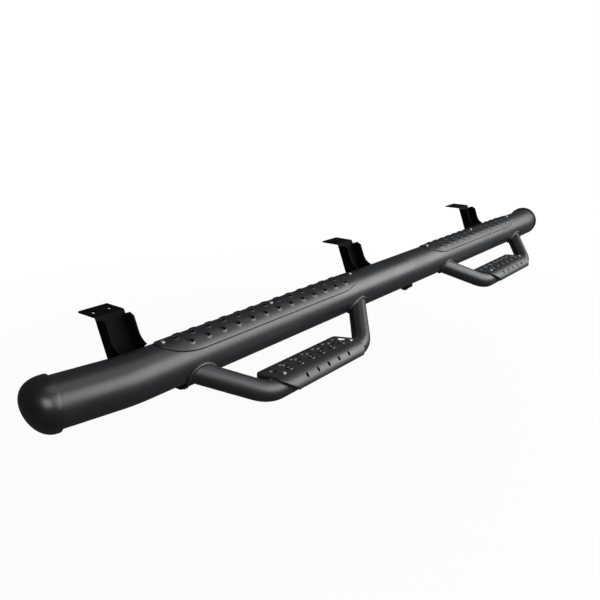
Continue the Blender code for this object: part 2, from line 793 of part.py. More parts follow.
def build_lug(name, x, main_cutter):
    """Block welded under the tube, drilled for its bolt."""
    outline = [
        (-LUG_HALF_LENGTH, -LUG_HALF_WIDTH),
        (LUG_HALF_LENGTH, -LUG_HALF_WIDTH),
        (LUG_HALF_LENGTH, LUG_HALF_WIDTH),
        (-LUG_HALF_LENGTH, LUG_HALF_WIDTH),
    ]
    matrix = Matrix.Translation((x, 0.0, -LUG_BOTTOM))
    height = LUG_BOTTOM - 0.75 * MAIN_RADIUS
    item = add_part(name, prism_mesh(name, outline, matrix, height), "coat")
    add_boolean(item, "DIFFERENCE", main_cutter)
    hole = cylinder_mesh(
        name + "_hole", (x, 0.0, -LUG_BOTTOM - 0.005), (0, 0, 1),
        bore_radius(LUG_SHANK_RADIUS, 8), 0.030, 8
    )
    add_boolean(item, "DIFFERENCE", add_cutter(name + "_hole", hole))
    return item


def lug_bolt_profile():
    """Flanged bolt seen as a turned shape, head at the top."""
    return [
        (0.0, LUG_HEAD_HEIGHT),
        (LUG_HEAD_RADIUS - 0.0015, LUG_HEAD_HEIGHT),
        (LUG_HEAD_RADIUS, LUG_HEAD_HEIGHT - 0.0012),
        (LUG_HEAD_RADIUS, 0.0025),
        (LUG_FLANGE_RADIUS, 0.0015),
        (LUG_FLANGE_RADIUS, 0.0),
        (LUG_SHANK_RADIUS, 0.0),
        (LUG_SHANK_RADIUS, -LUG_SHANK_LENGTH),
        (0.0, -LUG_SHANK_LENGTH),
    ]


def end_matrix(point, before):
    """Local z points out of a tube end."""
    heading = (point - before).normalized()
    side = Vector((0.0, 0.0, 1.0))
    frame = Matrix((side, heading.cross(side), heading)).transposed()
    return Matrix.Translation(point) @ frame.to_4x4()


clear_scene()
PARTS, CUTTERS = make_collections()
FINISHES = {
    "coat": ((0.030, 0.031, 0.034), 0.0, 0.42),
    "plastic": ((0.018, 0.018, 0.019), 0.0, 0.50),
    "zinc": ((0.55, 0.56, 0.58), 1.0, 0.35),
}

# Main tube with its screw and bolt holes
axis = main_path()
main_tube = add_part("main_tube", tube_mesh("main_tube", axis, MAIN_RADIUS, MAIN_SIDES), "coat")
bore = tube_mesh("main_bore", main_path(0.01), MAIN_RADIUS - MAIN_WALL, MAIN_SIDES)
add_boolean(main_tube, "DIFFERENCE", add_cutter("main_bore", bore))
drills = []
tread_screws = [
    centre + step * TREAD_SCREW_X for centre in TREAD_CENTRES for step in (-1, 0, 1)
]
for x in tread_screws:
    start = (x, 0.0, MAIN_RADIUS - 0.006)
    radius = bore_radius(SCREW_SHANK_RADIUS, 6)
    drills.append(cylinder_mesh("drill", start, (0, 0, 1), radius, 0.020, 6))
screw_drill = add_cutter("screw_drill", join_meshes("screw_drill", drills))
drills = []
for x in LUG_X:
    start = (x, 0.0, -MAIN_RADIUS - 0.008)
    radius = bore_radius(LUG_SHANK_RADIUS, 8)
    drills.append(cylinder_mesh("drill", start, (0, 0, 1), radius, 0.016, 8))
lug_drill = add_cutter("lug_drill", join_meshes("lug_drill", drills))
add_boolean(main_tube, "DIFFERENCE", screw_drill)
add_boolean(main_tube, "DIFFERENCE", lug_drill)

# The shape that saddles every piece that meets the main tube
main_cutter = add_cutter(
    "main_saddle", tube_mesh("main_saddle", main_path(0.02), MAIN_RADIUS + CLEARANCE, MAIN_SIDES)
)

# Hoops, their welds and step plates, drawn about X = 0 and then moved along the bar
saddle_end = Vector((HOOP_ARM_X + HOOP_SADDLE_EXTRA, 0.0, 0.0))
hoop_saddle = tube_mesh(
    "hoop_saddle", [-saddle_end, saddle_end],
    MAIN_RADIUS + CLEARANCE, MAIN_SIDES,
)
for place, centre in zip(PLACES, HOOP_CENTRES):
    path = hoop_path(0.0)
    name = place + "_hoop"
    hoop = add_part(name, tube_mesh(name, path, HOOP_RADIUS, HOOP_SIDES), "coat")
    reach = (path[0] - path[1]).normalized() * HOOP_BORE_EXTRA
    longer = [path[0] + reach] + path[1:-1]
    longer.append(path[-1] + (path[-1] - path[-2]).normalized() * HOOP_BORE_EXTRA)
    bore_mesh = tube_mesh(name + "_bore", longer, HOOP_RADIUS - HOOP_WALL, HOOP_SIDES)
    bore = add_cutter(name + "_bore", bore_mesh)
    saddle = add_cutter(name + "_saddle", hoop_saddle)
    drills = []
    for step in (-1, 1):
        start = (step * PAD_SCREW_X, PAD_SCREW_Y, PAD_TOP_Z - 0.010)
        radius = bore_radius(SCREW_SHANK_RADIUS, 6)
        drills.append(cylinder_mesh("drill", start, (0, 0, 1), radius, 0.020, 6))
    pad_drill = add_cutter(place + "_pad_drill", join_meshes(place + "_pad_drill", drills))
    for cutter in (bore, saddle, pad_drill):
        add_boolean(hoop, "DIFFERENCE", cutter)
    pad_name = place + "_step_pad"
    pad = add_part(pad_name, pad_mesh(pad_name, 0.0), "coat")
    skirt = add_cutter(pad_name + "_skirt", pad_skirt(0.0))
    slots = add_cutter(pad_name + "_slots", pad_slot_cutter(pad_name + "_slots", 0.0))
    add_boolean(pad, "UNION", skirt)
    add_boolean(pad, "DIFFERENCE", slots)
    add_boolean(pad, "DIFFERENCE", pad_drill)
    moved = [hoop, bore, saddle, pad_drill, pad, skirt, slots]
    for end, word in ((-1, "rear"), (1, "front")):
        bead = tube_mesh("bead", weld_path(0.0, end), WELD_RADIUS, 6, cyclic=True)
        moved.append(add_part(name + "_" + word + "_weld", bead, "coat"))
    for item in moved:
        item.location.x = centre
    for step, word in ((-1, "rear"), (1, "front")):
        seat = (centre + step * PAD_SCREW_X, PAD_SCREW_Y, PAD_TOP_Z + CLEARANCE)
        screw_name = place + "_pad_screw_" + word
        turned_part(screw_name, screw_profile(), Matrix.Translation(seat), 6, "zinc")

# Treads and their screws
for place, centre in zip(PLACES, TREAD_CENTRES):
    name = place + "_tread"
    tread = add_part(name, tread_mesh(name, centre), "coat")
    add_boolean(tread, "DIFFERENCE", screw_drill)
    for step, word in ((-1, "rear"), (0, "middle"), (1, "front")):
        height = MAIN_RADIUS + TREAD_GAP + TREAD_THICKNESS + CLEARANCE
        seat = (centre + step * TREAD_SCREW_X, 0.0, height)
        screw_name = place + "_tread_screw_" + word
        turned_part(screw_name, screw_profile(), Matrix.Translation(seat), 6, "zinc")

# End caps
turned_part("rear_end_cap", cap_profile(), end_matrix(axis[0], axis[1]), 20, "plastic")
turned_part("front_end_cap", cap_profile(), end_matrix(axis[-1], axis[-2]), 20, "plastic")

# Brackets, lugs and lug bolts
over_tread = MAIN_RADIUS + TREAD_GAP + TREAD_THICKNESS + 2.0 * CLEARANCE
tread_saddle = add_cutter(
    "tread_saddle", tube_mesh("tread_saddle", main_path(0.02), over_tread, 2 * MAIN_SIDES)
)
for word, x in zip(BRACKET_NAMES, BRACKET_X):
    reach = TREAD_HALF_LENGTH + BRACKET_HALF_WIDTH
    over = any(abs(x - centre) < reach for centre in TREAD_CENTRES)
    build_bracket(word + "_bracket", x, tread_saddle if over else main_cutter, main_cutter)
for word, x in zip(BRACKET_NAMES, LUG_X):
    build_lug(word + "_lug", x, main_cutter)
    seat = Matrix.Translation((x, 0.0, -LUG_BOTTOM - CLEARANCE)) @ Matrix.Rotation(math.pi, 4, "X")
    turned_part(word + "_lug_bolt", lug_bolt_profile(), seat, 6, "zinc")

# Bring the middle sill face to the origin
for item in list(PARTS.objects) + list(CUTTERS.objects):
    item.location = item.location - SILL_FACE
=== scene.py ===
# %% [markdown]
# A side step is a long round tube with two lower hoops, a grip pad on each hoop
# and three brackets to hang it by.  Everything is powder coated in satin black.
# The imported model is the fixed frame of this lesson.  The big round pieces get
# finer surfaces here, worked out with numpy, and every piece gets its own finish.

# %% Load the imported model
import math

import bmesh
import bpy
import numpy as np
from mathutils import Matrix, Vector
from mathutils.geometry import delaunay_2d_cdt


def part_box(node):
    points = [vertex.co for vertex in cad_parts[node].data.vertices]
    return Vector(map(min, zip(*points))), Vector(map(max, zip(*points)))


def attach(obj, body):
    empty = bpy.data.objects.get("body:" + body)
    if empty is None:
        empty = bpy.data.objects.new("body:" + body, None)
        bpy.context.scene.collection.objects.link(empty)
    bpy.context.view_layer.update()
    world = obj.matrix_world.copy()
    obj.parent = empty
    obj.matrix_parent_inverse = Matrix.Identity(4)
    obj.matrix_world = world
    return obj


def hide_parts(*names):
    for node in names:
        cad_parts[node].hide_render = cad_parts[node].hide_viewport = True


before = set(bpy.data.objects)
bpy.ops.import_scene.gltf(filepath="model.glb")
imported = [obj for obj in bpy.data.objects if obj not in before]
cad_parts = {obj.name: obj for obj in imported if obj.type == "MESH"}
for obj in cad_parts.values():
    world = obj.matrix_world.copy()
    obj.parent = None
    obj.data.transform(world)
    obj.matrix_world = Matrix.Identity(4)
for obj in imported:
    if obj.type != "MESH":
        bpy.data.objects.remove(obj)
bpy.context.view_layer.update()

# %% [markdown]
# All the new pieces are drawn around the axis of the main tube, because every
# radius is simplest there. X = 0 is midway between the treads.

# %% Find the tube's axis
BAR_RADIUS = 0.0508
tube_low, tube_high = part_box("main_tube")
rear_low, rear_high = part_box("rear_tread")
front_low, front_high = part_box("front_tread")
AXIS = np.array((
    0.25 * (rear_low[0] + rear_high[0] + front_low[0] + front_high[0]),
    tube_low[1] + BAR_RADIUS,
    0.5 * (tube_low[2] + tube_high[2]),
))
print("middle of the bar:", AXIS.round(4).tolist())

# %% [markdown]
# A surface here is a grid of points: rows along one parameter and columns along
# the other.  A tube's grid closes along its columns, and a whole tube wall, with
# its outer and inner skin, closes along its rows too.  One helper turns such a
# grid into four-sided faces, all at once, and another joins grids into a piece.


# %% Grids and pieces
JOIN_GAP = 0.00002
SHORTEST_EDGE = 0.000005
BAR_CREASE = 40.0
PLATE_CREASE = 35.0


def grid_sheet(points, close_rows=False, close_columns=False):
    """Points of a grid and its faces: each cell joins a point, the next one in
    its row, the one below that and the one below itself."""
    rows, columns = points.shape[:2]
    row = np.arange(rows if close_rows else rows - 1)[:, None]
    column = np.arange(columns if close_columns else columns - 1)[None, :]
    below = (row + 1) % rows
    beside = (column + 1) % columns
    corners = (
        row * columns + column, row * columns + beside,
        below * columns + beside, below * columns + column,
    )
    return points.reshape(-1, 3), np.stack(corners, axis=-1).reshape(-1, 4)


def joined(sheets):
    """Several sheets as one list of points and one list of faces."""
    points = []
    faces = []
    start = 0
    for sheet_points, sheet_faces in sheets:
        points.append(sheet_points)
        faces += (sheet_faces + start).tolist()
        start += len(sheet_points)
    return np.concatenate(points), faces


def make_piece(name, sheets, material, stands_for, crease=BAR_CREASE):
    """Join the sheets where they meet, and hand the piece to the frame."""
    points, faces = joined(sheets)
    mesh = bpy.data.meshes.new(name)
    mesh.from_pydata((points + AXIS).tolist(), [], faces)
    bm = bmesh.new()
    bm.from_mesh(mesh)
    bmesh.ops.remove_doubles(bm, verts=bm.verts, dist=JOIN_GAP)
    bmesh.ops.dissolve_degenerate(bm, dist=SHORTEST_EDGE, edges=bm.edges)
    bmesh.ops.recalc_face_normals(bm, faces=bm.faces)
    bm.to_mesh(mesh)
    bm.free()
    mesh.shade_smooth()
    mesh.set_sharp_from_angle(angle=math.radians(crease))
    mesh.materials.append(material)
    piece = bpy.data.objects.new(name, mesh)
    bpy.context.scene.collection.objects.link(piece)
    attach(piece, "root")
    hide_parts(stands_for)
    print(name, len(mesh.polygons), "faces")
    return piece


# %% [markdown]
# Powder coat is baked on as a dust, and it never flows out quite flat: close up
# it has a fine grain, over a softer swell like orange peel.  The same two waves
# are in the coat of the tubes, the plates and the brackets, so they are a node
# group with its own inputs, and each coat sets its own values.


# %% Coat texture group
def new_group(name, inputs, outputs):
    """An empty shader node group: inputs are (name, default), outputs (name, kind)."""
    group = bpy.data.node_groups.new(name, "ShaderNodeTree")
    for label, value in inputs:
        kind = "NodeSocketColor" if isinstance(value, tuple) else "NodeSocketFloat"
        socket = group.interface.new_socket(
            name=label, in_out="INPUT", socket_type=kind
        )
        socket.default_value = value
    for label, kind in outputs:
        group.interface.new_socket(name=label, in_out="OUTPUT", socket_type=kind)
    entry = group.nodes.new("NodeGroupInput")
    result = group.nodes.new("NodeGroupOutput")
    return group, entry, result


def add_noise(tree, coordinates, detail):
    """A noise texture on the given coordinates; its scale is set afterwards."""
    noise = tree.nodes.new("ShaderNodeTexNoise")
    noise.inputs["Detail"].default_value = detail
    tree.links.new(coordinates, noise.inputs["Vector"])
    return noise


def add_math(tree, operation, first, second):
    """A Math node; each operand is a socket or a number."""
    node = tree.nodes.new("ShaderNodeMath")
    node.operation = operation
    for index, value in enumerate((first, second)):
        if isinstance(value, (int, float)):
            node.inputs[index].default_value = value
        else:
            tree.links.new(value, node.inputs[index])
    return node.outputs[0]


def make_coat_group():
    """Height = grain * Grain Depth + peel * Peel Depth; roughness and colour
    drift between two values with a slow noise."""
    group, entry, result = new_group(
        "baked_coat",
        [
            ("Grain Scale", 1400.0), ("Grain Depth", 0.35), ("Peel Scale", 260.0),
            ("Peel Depth", 0.65), ("Smoothest", 0.40), ("Roughest", 0.50),
            ("Dark", (0.01, 0.01, 0.01, 1.0)), ("Pale", (0.02, 0.02, 0.02, 1.0)),
        ],
        [
            ("Color", "NodeSocketColor"), ("Roughness", "NodeSocketFloat"),
            ("Height", "NodeSocketFloat"),
        ],
    )
    place = group.nodes.new("ShaderNodeTexCoord").outputs["Object"]
    grain = add_noise(group, place, 2.0)
    peel = add_noise(group, place, 1.0)
    drift = add_noise(group, place, 3.0)
    drift.inputs["Scale"].default_value = 9.0
    group.links.new(entry.outputs["Grain Scale"], grain.inputs["Scale"])
    group.links.new(entry.outputs["Peel Scale"], peel.inputs["Scale"])
    depths = entry.outputs
    fine = add_math(group, "MULTIPLY", grain.outputs["Fac"], depths["Grain Depth"])
    swell = add_math(group, "MULTIPLY", peel.outputs["Fac"], depths["Peel Depth"])
    height = add_math(group, "ADD", fine, swell)
    blend = group.nodes.new("ShaderNodeMapRange")
    blend.inputs["From Min"].default_value = 0.35
    blend.inputs["From Max"].default_value = 0.65
    group.links.new(drift.outputs["Fac"], blend.inputs["Value"])
    group.links.new(entry.outputs["Smoothest"], blend.inputs["To Min"])
    group.links.new(entry.outputs["Roughest"], blend.inputs["To Max"])
    color = group.nodes.new("ShaderNodeMix")
    color.data_type = "RGBA"
    group.links.new(peel.outputs["Fac"], color.inputs["Factor"])
    group.links.new(entry.outputs["Dark"], color.inputs["A"])
    group.links.new(entry.outputs["Pale"], color.inputs["B"])
    group.links.new(color.outputs["Result"], result.inputs["Color"])
    group.links.new(blend.outputs["Result"], result.inputs["Roughness"])
    group.links.new(height, result.inputs["Height"])
    return group


COAT_GROUP = make_coat_group()
print("coat group:", len(COAT_GROUP.nodes), "nodes")

# %% [markdown]
# The shader itself stays in each material.  It is a plain Principled surface
# that isn't metallic, because the light meets the coat and never the steel.  Its
# bump takes the group's height, and its constant values sit on its own sockets.


# %% Coat, cap and zinc materials
def coat_material(name, dark, pale, roughness, bump, specular=1.0, values=()):
    """Satin powder coat with its grain from the shared group; roughness is the
    smoothest and the roughest value, and bump the relief's height in metres."""
    material = bpy.data.materials.new(name)
    material.use_nodes = True
    tree = material.node_tree
    shader = tree.nodes["Principled BSDF"]
    coat = tree.nodes.new("ShaderNodeGroup")
    coat.node_tree = COAT_GROUP
    coat.inputs["Dark"].default_value = (*dark, 1.0)
    coat.inputs["Pale"].default_value = (*pale, 1.0)
    coat.inputs["Smoothest"].default_value = roughness[0]
    coat.inputs["Roughest"].default_value = roughness[1]
    for label, value in values:
        coat.inputs[label].default_value = value
    relief = tree.nodes.new("ShaderNodeBump")
    relief.inputs["Strength"].default_value = 1.0
    relief.inputs["Distance"].default_value = bump
    tree.links.new(coat.outputs["Color"], shader.inputs["Base Color"])
    tree.links.new(coat.outputs["Roughness"], shader.inputs["Roughness"])
    tree.links.new(coat.outputs["Height"], relief.inputs["Height"])
    tree.links.new(relief.outputs["Normal"], shader.inputs["Normal"])
    shader.inputs["Metallic"].default_value = 0.0
    shader.inputs["IOR"].default_value = 1.5
    shader.inputs["Specular IOR Level"].default_value = specular
    return material


tube_coat = coat_material(
    "tube_coat", dark=(0.0105, 0.0110, 0.0126), pale=(0.0165, 0.0172, 0.0196),
    roughness=(0.37, 0.43), bump=0.00006,
)
plate_coat = coat_material(
    "plate_coat", dark=(0.0095, 0.0099, 0.0110), pale=(0.0155, 0.0161, 0.0178),
    roughness=(0.36, 0.43), bump=0.00007,
)
# Painted shade: the brackets' and lugs' coat has a far darker base colour than the tubes'
# coat and a very low specular level, so they render as if they hung in deep shade.
bracket_coat = coat_material(
    "bracket_coat", dark=(0.0026, 0.0026, 0.0028), pale=(0.0042, 0.0042, 0.0045),
    roughness=(0.64, 0.74), bump=0.00008, specular=0.08,
)
cap_plastic = coat_material(
    "cap_plastic", dark=(0.0040, 0.0038, 0.0035), pale=(0.0160, 0.0153, 0.0140),
    roughness=(0.27, 0.36), bump=0.00030,
    values=[
        ("Grain Scale", 520.0), ("Grain Depth", 0.8),
        ("Peel Scale", 150.0), ("Peel Depth", 0.2),
    ],
)


def zinc_material(name):
    """Bright zinc: metal with a fine turned grain in its roughness and colour."""
    material = bpy.data.materials.new(name)
    material.use_nodes = True
    tree = material.node_tree
    shader = tree.nodes["Principled BSDF"]
    place = tree.nodes.new("ShaderNodeTexCoord").outputs["Object"]
    spangle = add_noise(tree, place, 4.0)
    spangle.inputs["Scale"].default_value = 700.0
    tint = tree.nodes.new("ShaderNodeValToRGB")
    tint.color_ramp.elements[0].position = 0.3
    tint.color_ramp.elements[0].color = (0.42, 0.43, 0.45, 1.0)
    tint.color_ramp.elements[1].position = 0.7
    tint.color_ramp.elements[1].color = (0.66, 0.67, 0.69, 1.0)
    rough = tree.nodes.new("ShaderNodeMapRange")
    rough.inputs["To Min"].default_value = 0.34
    rough.inputs["To Max"].default_value = 0.50
    tree.links.new(spangle.outputs["Fac"], tint.inputs["Fac"])
    tree.links.new(spangle.outputs["Fac"], rough.inputs["Value"])
    tree.links.new(tint.outputs["Color"], shader.inputs["Base Color"])
    tree.links.new(rough.outputs["Result"], shader.inputs["Roughness"])
    shader.inputs["Metallic"].default_value = 1.0
    return material


bright_zinc = zinc_material("bright_zinc")
print("materials:", [material.name for material in bpy.data.materials])

# %% [markdown]
# The main tube is a circle carried along its axis.  The axis is straight between
# two bends and ends in a short leg on each side, turned in to the brackets' side.
# Points stand close together only in the bends, where the shape changes.

# %% Main tube's axis
REAR_BEND_START = -0.952
FRONT_BEND_START = 1.026
BEND_RADIUS = 0.300
BEND_ANGLE = math.radians(10.5)
REAR_LEG = 0.120
FRONT_LEG = 0.020
BAR_WALL = 0.0025
BAR_SIDES = 96
BEND_STEPS = 14
STRAIGHT_STEPS = 42


def bar_end(start, leg, sign):
    """One end of the axis: an arc, x = start + R sin(a) and y = R (1 - cos(a)),
    then a straight leg along the last direction."""
    angle = np.linspace(0.0, BEND_ANGLE, BEND_STEPS)
    x = start + sign * BEND_RADIUS * np.sin(angle)
    y = BEND_RADIUS * (1.0 - np.cos(angle))
    arc = np.stack((x, y, np.zeros(BEND_STEPS)), axis=1)
    heading = np.array((sign * math.cos(BEND_ANGLE), math.sin(BEND_ANGLE), 0.0))
    return np.vstack((arc, arc[-1] + heading * leg * np.array((0.5, 1.0))[:, None]))


def bar_axis():
    """The whole axis, from the rear end to the front end."""
    rear = bar_end(REAR_BEND_START, REAR_LEG, -1.0)[::-1]
    front = bar_end(FRONT_BEND_START, FRONT_LEG, 1.0)
    straight = np.linspace(REAR_BEND_START, FRONT_BEND_START, STRAIGHT_STEPS)[1:-1]
    middle = np.zeros((len(straight), 3))
    middle[:, 0] = straight
    return np.vstack((rear, middle, front))


def path_tangents(path):
    """At each point the mean of the two directions that meet there."""
    steps = np.diff(path, axis=0)
    steps /= np.linalg.norm(steps, axis=1)[:, None]
    tangents = np.vstack((steps[:1], steps[:-1] + steps[1:], steps[-1:]))
    return tangents / np.linalg.norm(tangents, axis=1)[:, None]


def carried_circle(path, normal, radius, count):
    """A circle carried along a flat path: centre + radius (cos(a) across +
    sin(a) normal), where across stands square on the path and on the normal."""
    across = np.cross(normal, path_tangents(path))
    angle = np.linspace(0.0, 2.0 * np.pi, count, endpoint=False)
    ring = np.cos(angle)[None, :, None] * across[:, None, :]
    ring = ring + np.sin(angle)[None, :, None] * np.asarray(normal)[None, None, :]
    return path[:, None, :] + radius * ring


BAR_PATH = bar_axis()
UP = np.array((0.0, 0.0, 1.0))
outer_skin = carried_circle(BAR_PATH, UP, BAR_RADIUS, BAR_SIDES)
inner_skin = carried_circle(BAR_PATH, UP, BAR_RADIUS - BAR_WALL, BAR_SIDES)
bar_wall = np.concatenate((outer_skin, inner_skin[::-1]))
make_piece(
    "bar_tube", [grid_sheet(bar_wall, True, True)], tube_coat, "main_tube"
)

# %% [markdown]
# A hoop is one bent tube: two arms that come down and out from the main tube,
# and a straight run between two round bends.  Its axis lies in one slanted
# plane.  Each arm is cut to the main tube's curve, so its first ring of points
# slides along the arm until it meets that cylinder.

# %% Hoops
HOOP_CENTRES = {"rear": -0.532, "front": 0.5877}
HOOP_RADIUS = 0.02415
HOOP_WALL = 0.0022
HOOP_BEND = 0.080
HOOP_BEND_STEPS = 16
HOOP_SIDES = 48
HOOP_SEAT = 0.0002
ARM_TOP = np.array((0.344, 0.0, 0.0004))
RUN_END = np.array((0.1825, -0.1320, -0.0863))
MIRROR = np.array((-1.0, 1.0, 1.0))


def round_corner(before, corner, after, radius, steps):
    """Arc that replaces a corner: middle + radius (sin((1-t)w) first +
    sin(t w) last) / sin(w), with w the angle between its two end spokes."""
    back = (before - corner) / np.linalg.norm(before - corner)
    ahead = (after - corner) / np.linalg.norm(after - corner)
    half = 0.5 * math.acos(float(back @ ahead))
    bisector = (back + ahead) / np.linalg.norm(back + ahead)
    middle = corner + bisector * radius / math.sin(half)
    reach = radius / math.tan(half)
    first = (corner + back * reach - middle) / radius
    last = (corner + ahead * reach - middle) / radius
    turn = math.acos(float(first @ last))
    t = np.linspace(0.0, 1.0, steps)[:, None]
    spokes = np.sin((1.0 - t) * turn) * first + np.sin(t * turn) * last
    return middle + radius * spokes / math.sin(turn)


def hoop_axis(centre):
    """Axis of a hoop: the rear arm's top, its two bends, and the front arm's top."""
    corners = [ARM_TOP * MIRROR, RUN_END * MIRROR, RUN_END, ARM_TOP]
    corners = [corner + np.array((centre, 0.0, 0.0)) for corner in corners]
    rear_bend = round_corner(*corners[:3], HOOP_BEND, HOOP_BEND_STEPS)
    front_bend = round_corner(*corners[1:], HOOP_BEND, HOOP_BEND_STEPS)
    return np.vstack((corners[0], rear_bend, front_bend, corners[3]))


def slide_to_cylinder(points, direction, radius):
    """Slide points along a direction until they lie on the cylinder round X:
    the nearer root of |(y, z) + t (dy, dz)| = radius."""
    square = direction[1] ** 2 + direction[2] ** 2
    mixed = points[:, 1] * direction[1] + points[:, 2] * direction[2]
    rest = points[:, 1] ** 2 + points[:, 2] ** 2 - radius ** 2
    reach = (-mixed - np.sqrt(mixed ** 2 - square * rest)) / square
    return points + reach[:, None] * direction


def hoop_skin(centre, radius):
    """One skin of a hoop, with both ends cut to the main tube."""
    path = hoop_axis(centre)
    normal = np.cross((1.0, 0.0, 0.0), ARM_TOP - RUN_END)
    normal /= np.linalg.norm(normal)
    skin = carried_circle(path, normal, radius, HOOP_SIDES)
    for row, inner in ((0, 1), (-1, -2)):
        direction = path[row] - path[inner]
        direction /= np.linalg.norm(direction)
        skin[row] = slide_to_cylinder(skin[inner], direction, BAR_RADIUS + HOOP_SEAT)
    return skin


for place, centre in HOOP_CENTRES.items():
    outer_skin = hoop_skin(centre, HOOP_RADIUS)
    inner_skin = hoop_skin(centre, HOOP_RADIUS - HOOP_WALL)
    hoop_wall = np.concatenate((outer_skin, inner_skin[::-1]))
    make_piece(
        place + "_hoop_tube", [grid_sheet(hoop_wall, True, True)], tube_coat,
        place + "_hoop",
    )

# %% [markdown]
# Where a hoop meets the main tube, a weld bead runs round the joint.  Its middle
# line is where the two tubes' surfaces would cross.  A weld is laid in short
# overlapping drops, so the bead's radius rises and falls along it.

# %% Weld beads
BEAD_RADIUS = 0.0045
BEAD_SEAT = 0.0008
BEAD_STEPS = 240
BEAD_SIDES = 14
BEAD_DROPS = 30
DROP_RISE = 0.13
DROP_FALL = 0.06
DROP_SKEW = 0.7
# Two waves round the joint: size, number, and how far the seed shifts them
BEAD_WAVES = ((0.12, 3.0, 1.0), (0.08, 7.0, 2.0))


def bead_line(centre, side):
    """Line round one arm, at the hoop's radius, slid to the main tube."""
    flip = np.array((side, 1.0, 1.0))
    corner = RUN_END * flip + np.array((centre, 0.0, 0.0))
    along = (ARM_TOP - RUN_END) * flip
    along /= np.linalg.norm(along)
    across = np.cross(along, (1.0, 0.0, 0.0))
    across /= np.linalg.norm(across)
    third = np.cross(along, across)
    angle = np.linspace(0.0, 2.0 * np.pi, BEAD_STEPS, endpoint=False)[:, None]
    spoke = np.cos(angle) * across + np.sin(angle) * third
    ring = corner + (HOOP_RADIUS + BEAD_SEAT) * spoke
    return slide_to_cylinder(ring, along, BAR_RADIUS + BEAD_SEAT), spoke, angle[:, 0]


def weld_bead(centre, side, seed):
    """Bead: line + r (cos(b) spoke + sin(b) third), with r = r0 (1 + drops +
    waves), the drops being a rounded saw-tooth along the line."""
    line, spoke, angle = bead_line(centre, side)
    tangent = np.roll(line, -1, axis=0) - np.roll(line, 1, axis=0)
    tangent /= np.linalg.norm(tangent, axis=1)[:, None]
    spoke = spoke - (spoke * tangent).sum(axis=1)[:, None] * tangent
    spoke /= np.linalg.norm(spoke, axis=1)[:, None]
    third = np.cross(tangent, spoke)
    phase = (angle * BEAD_DROPS / (2.0 * np.pi)) % 1.0
    drops = DROP_RISE * np.sin(np.pi * phase ** DROP_SKEW) - DROP_FALL
    waves = sum(
        size * np.sin(number * angle + shift * seed) for size, number, shift in BEAD_WAVES
    )
    radius = BEAD_RADIUS * (1.0 + drops + waves)
    turn = np.linspace(0.0, 2.0 * np.pi, BEAD_SIDES, endpoint=False)
    circle = np.cos(turn)[None, :, None] * spoke[:, None, :]
    circle = circle + np.sin(turn)[None, :, None] * third[:, None, :]
    return line[:, None, :] + radius[:, None, None] * circle


for place, centre in HOOP_CENTRES.items():
    for end, sign in (("rear", -1.0), ("front", 1.0)):
        bead = weld_bead(centre, sign, 2.3 * centre + 0.4 * sign)
        make_piece(
            place + "_hoop_" + end + "_bead", [grid_sheet(bead, True, True)], tube_coat,
            place + "_hoop_" + end + "_weld",
        )

# %% [markdown]
# The end caps are moulded in black plastic with a grained skin.  Each is a
# turned shape: a plug inside the tube, a straight sleeve a little wider than the
# tube, and a flattened dome.  One outline is turned about the tube's end axis,
# and the dome's rings then slide up a little, the more the nearer to its top.

# %% End caps
CAP_RADIUS = 0.0555
CAP_SLEEVE = 0.006
CAP_DOME = 0.0500
CAP_FULLNESS = 2.05
CAP_LEAN = 0.0120
CAP_FILLET = 0.0015
CAP_SEAT = 0.0004
PLUG_RADIUS = 0.0475
PLUG_DEPTH = 0.030
DOME_STEPS = 26
FILLET_STEPS = 6


def cap_outline():
    """Rows of (radius, height) from the dome's top to the plug's end; the dome is
    a quarter of a full ellipse, cos and sin to the power 2 / fullness, and the
    sleeve's lower edge a small quarter circle."""
    dome = np.linspace(0.5 * np.pi, 0.0, DOME_STEPS)
    power = 2.0 / CAP_FULLNESS
    edge = np.linspace(0.0, 0.5 * np.pi, FILLET_STEPS)
    radius = np.concatenate((
        CAP_RADIUS * np.cos(dome).clip(0.0) ** power,
        CAP_RADIUS - CAP_FILLET * (1.0 - np.cos(edge)),
        (PLUG_RADIUS, PLUG_RADIUS, 0.0),
    ))
    height = np.concatenate((
        CAP_SLEEVE + CAP_DOME * np.sin(dome) ** power,
        CAP_SEAT + CAP_FILLET * (1.0 - np.sin(edge)),
        (CAP_SEAT, -PLUG_DEPTH, -PLUG_DEPTH),
    ))
    return radius, height


def turned(radius, height, origin, heading):
    """An outline turned about a level axis: origin + height heading + radius
    (cos(a) up + sin(a) across)."""
    across = np.cross(heading, UP)
    angle = np.linspace(0.0, 2.0 * np.pi, BAR_SIDES, endpoint=False)
    circle = np.cos(angle)[:, None] * UP + np.sin(angle)[:, None] * across
    points = radius[:, None, None] * circle[None, :, :]
    return origin + points + height[:, None, None] * heading


for place, row, before in (("rear", 0, 1), ("front", -1, -2)):
    heading = BAR_PATH[row] - BAR_PATH[before]
    heading /= np.linalg.norm(heading)
    radius, height = cap_outline()
    lift = CAP_LEAN * ((height - CAP_SLEEVE) / CAP_DOME).clip(0.0) ** 2
    cap = turned(radius, height, BAR_PATH[row], heading) + lift[:, None, None] * UP
    make_piece(
        place + "_cap", [grid_sheet(cap, False, True)], cap_plastic,
        place + "_end_cap",
    )

# %% [markdown]
# Treads and pads are sheets of steel with pressed holes.  Each hole is a grid
# of rings: its outline is a circle, and its height follows a fixed profile, up
# to a raised rim or down to a sunk one.  The plain sheet between the holes is
# filled with triangles that share the holes' outermost rings.  Only then is the
# flat sheet rolled or folded, and a Solidify gives it its thickness.

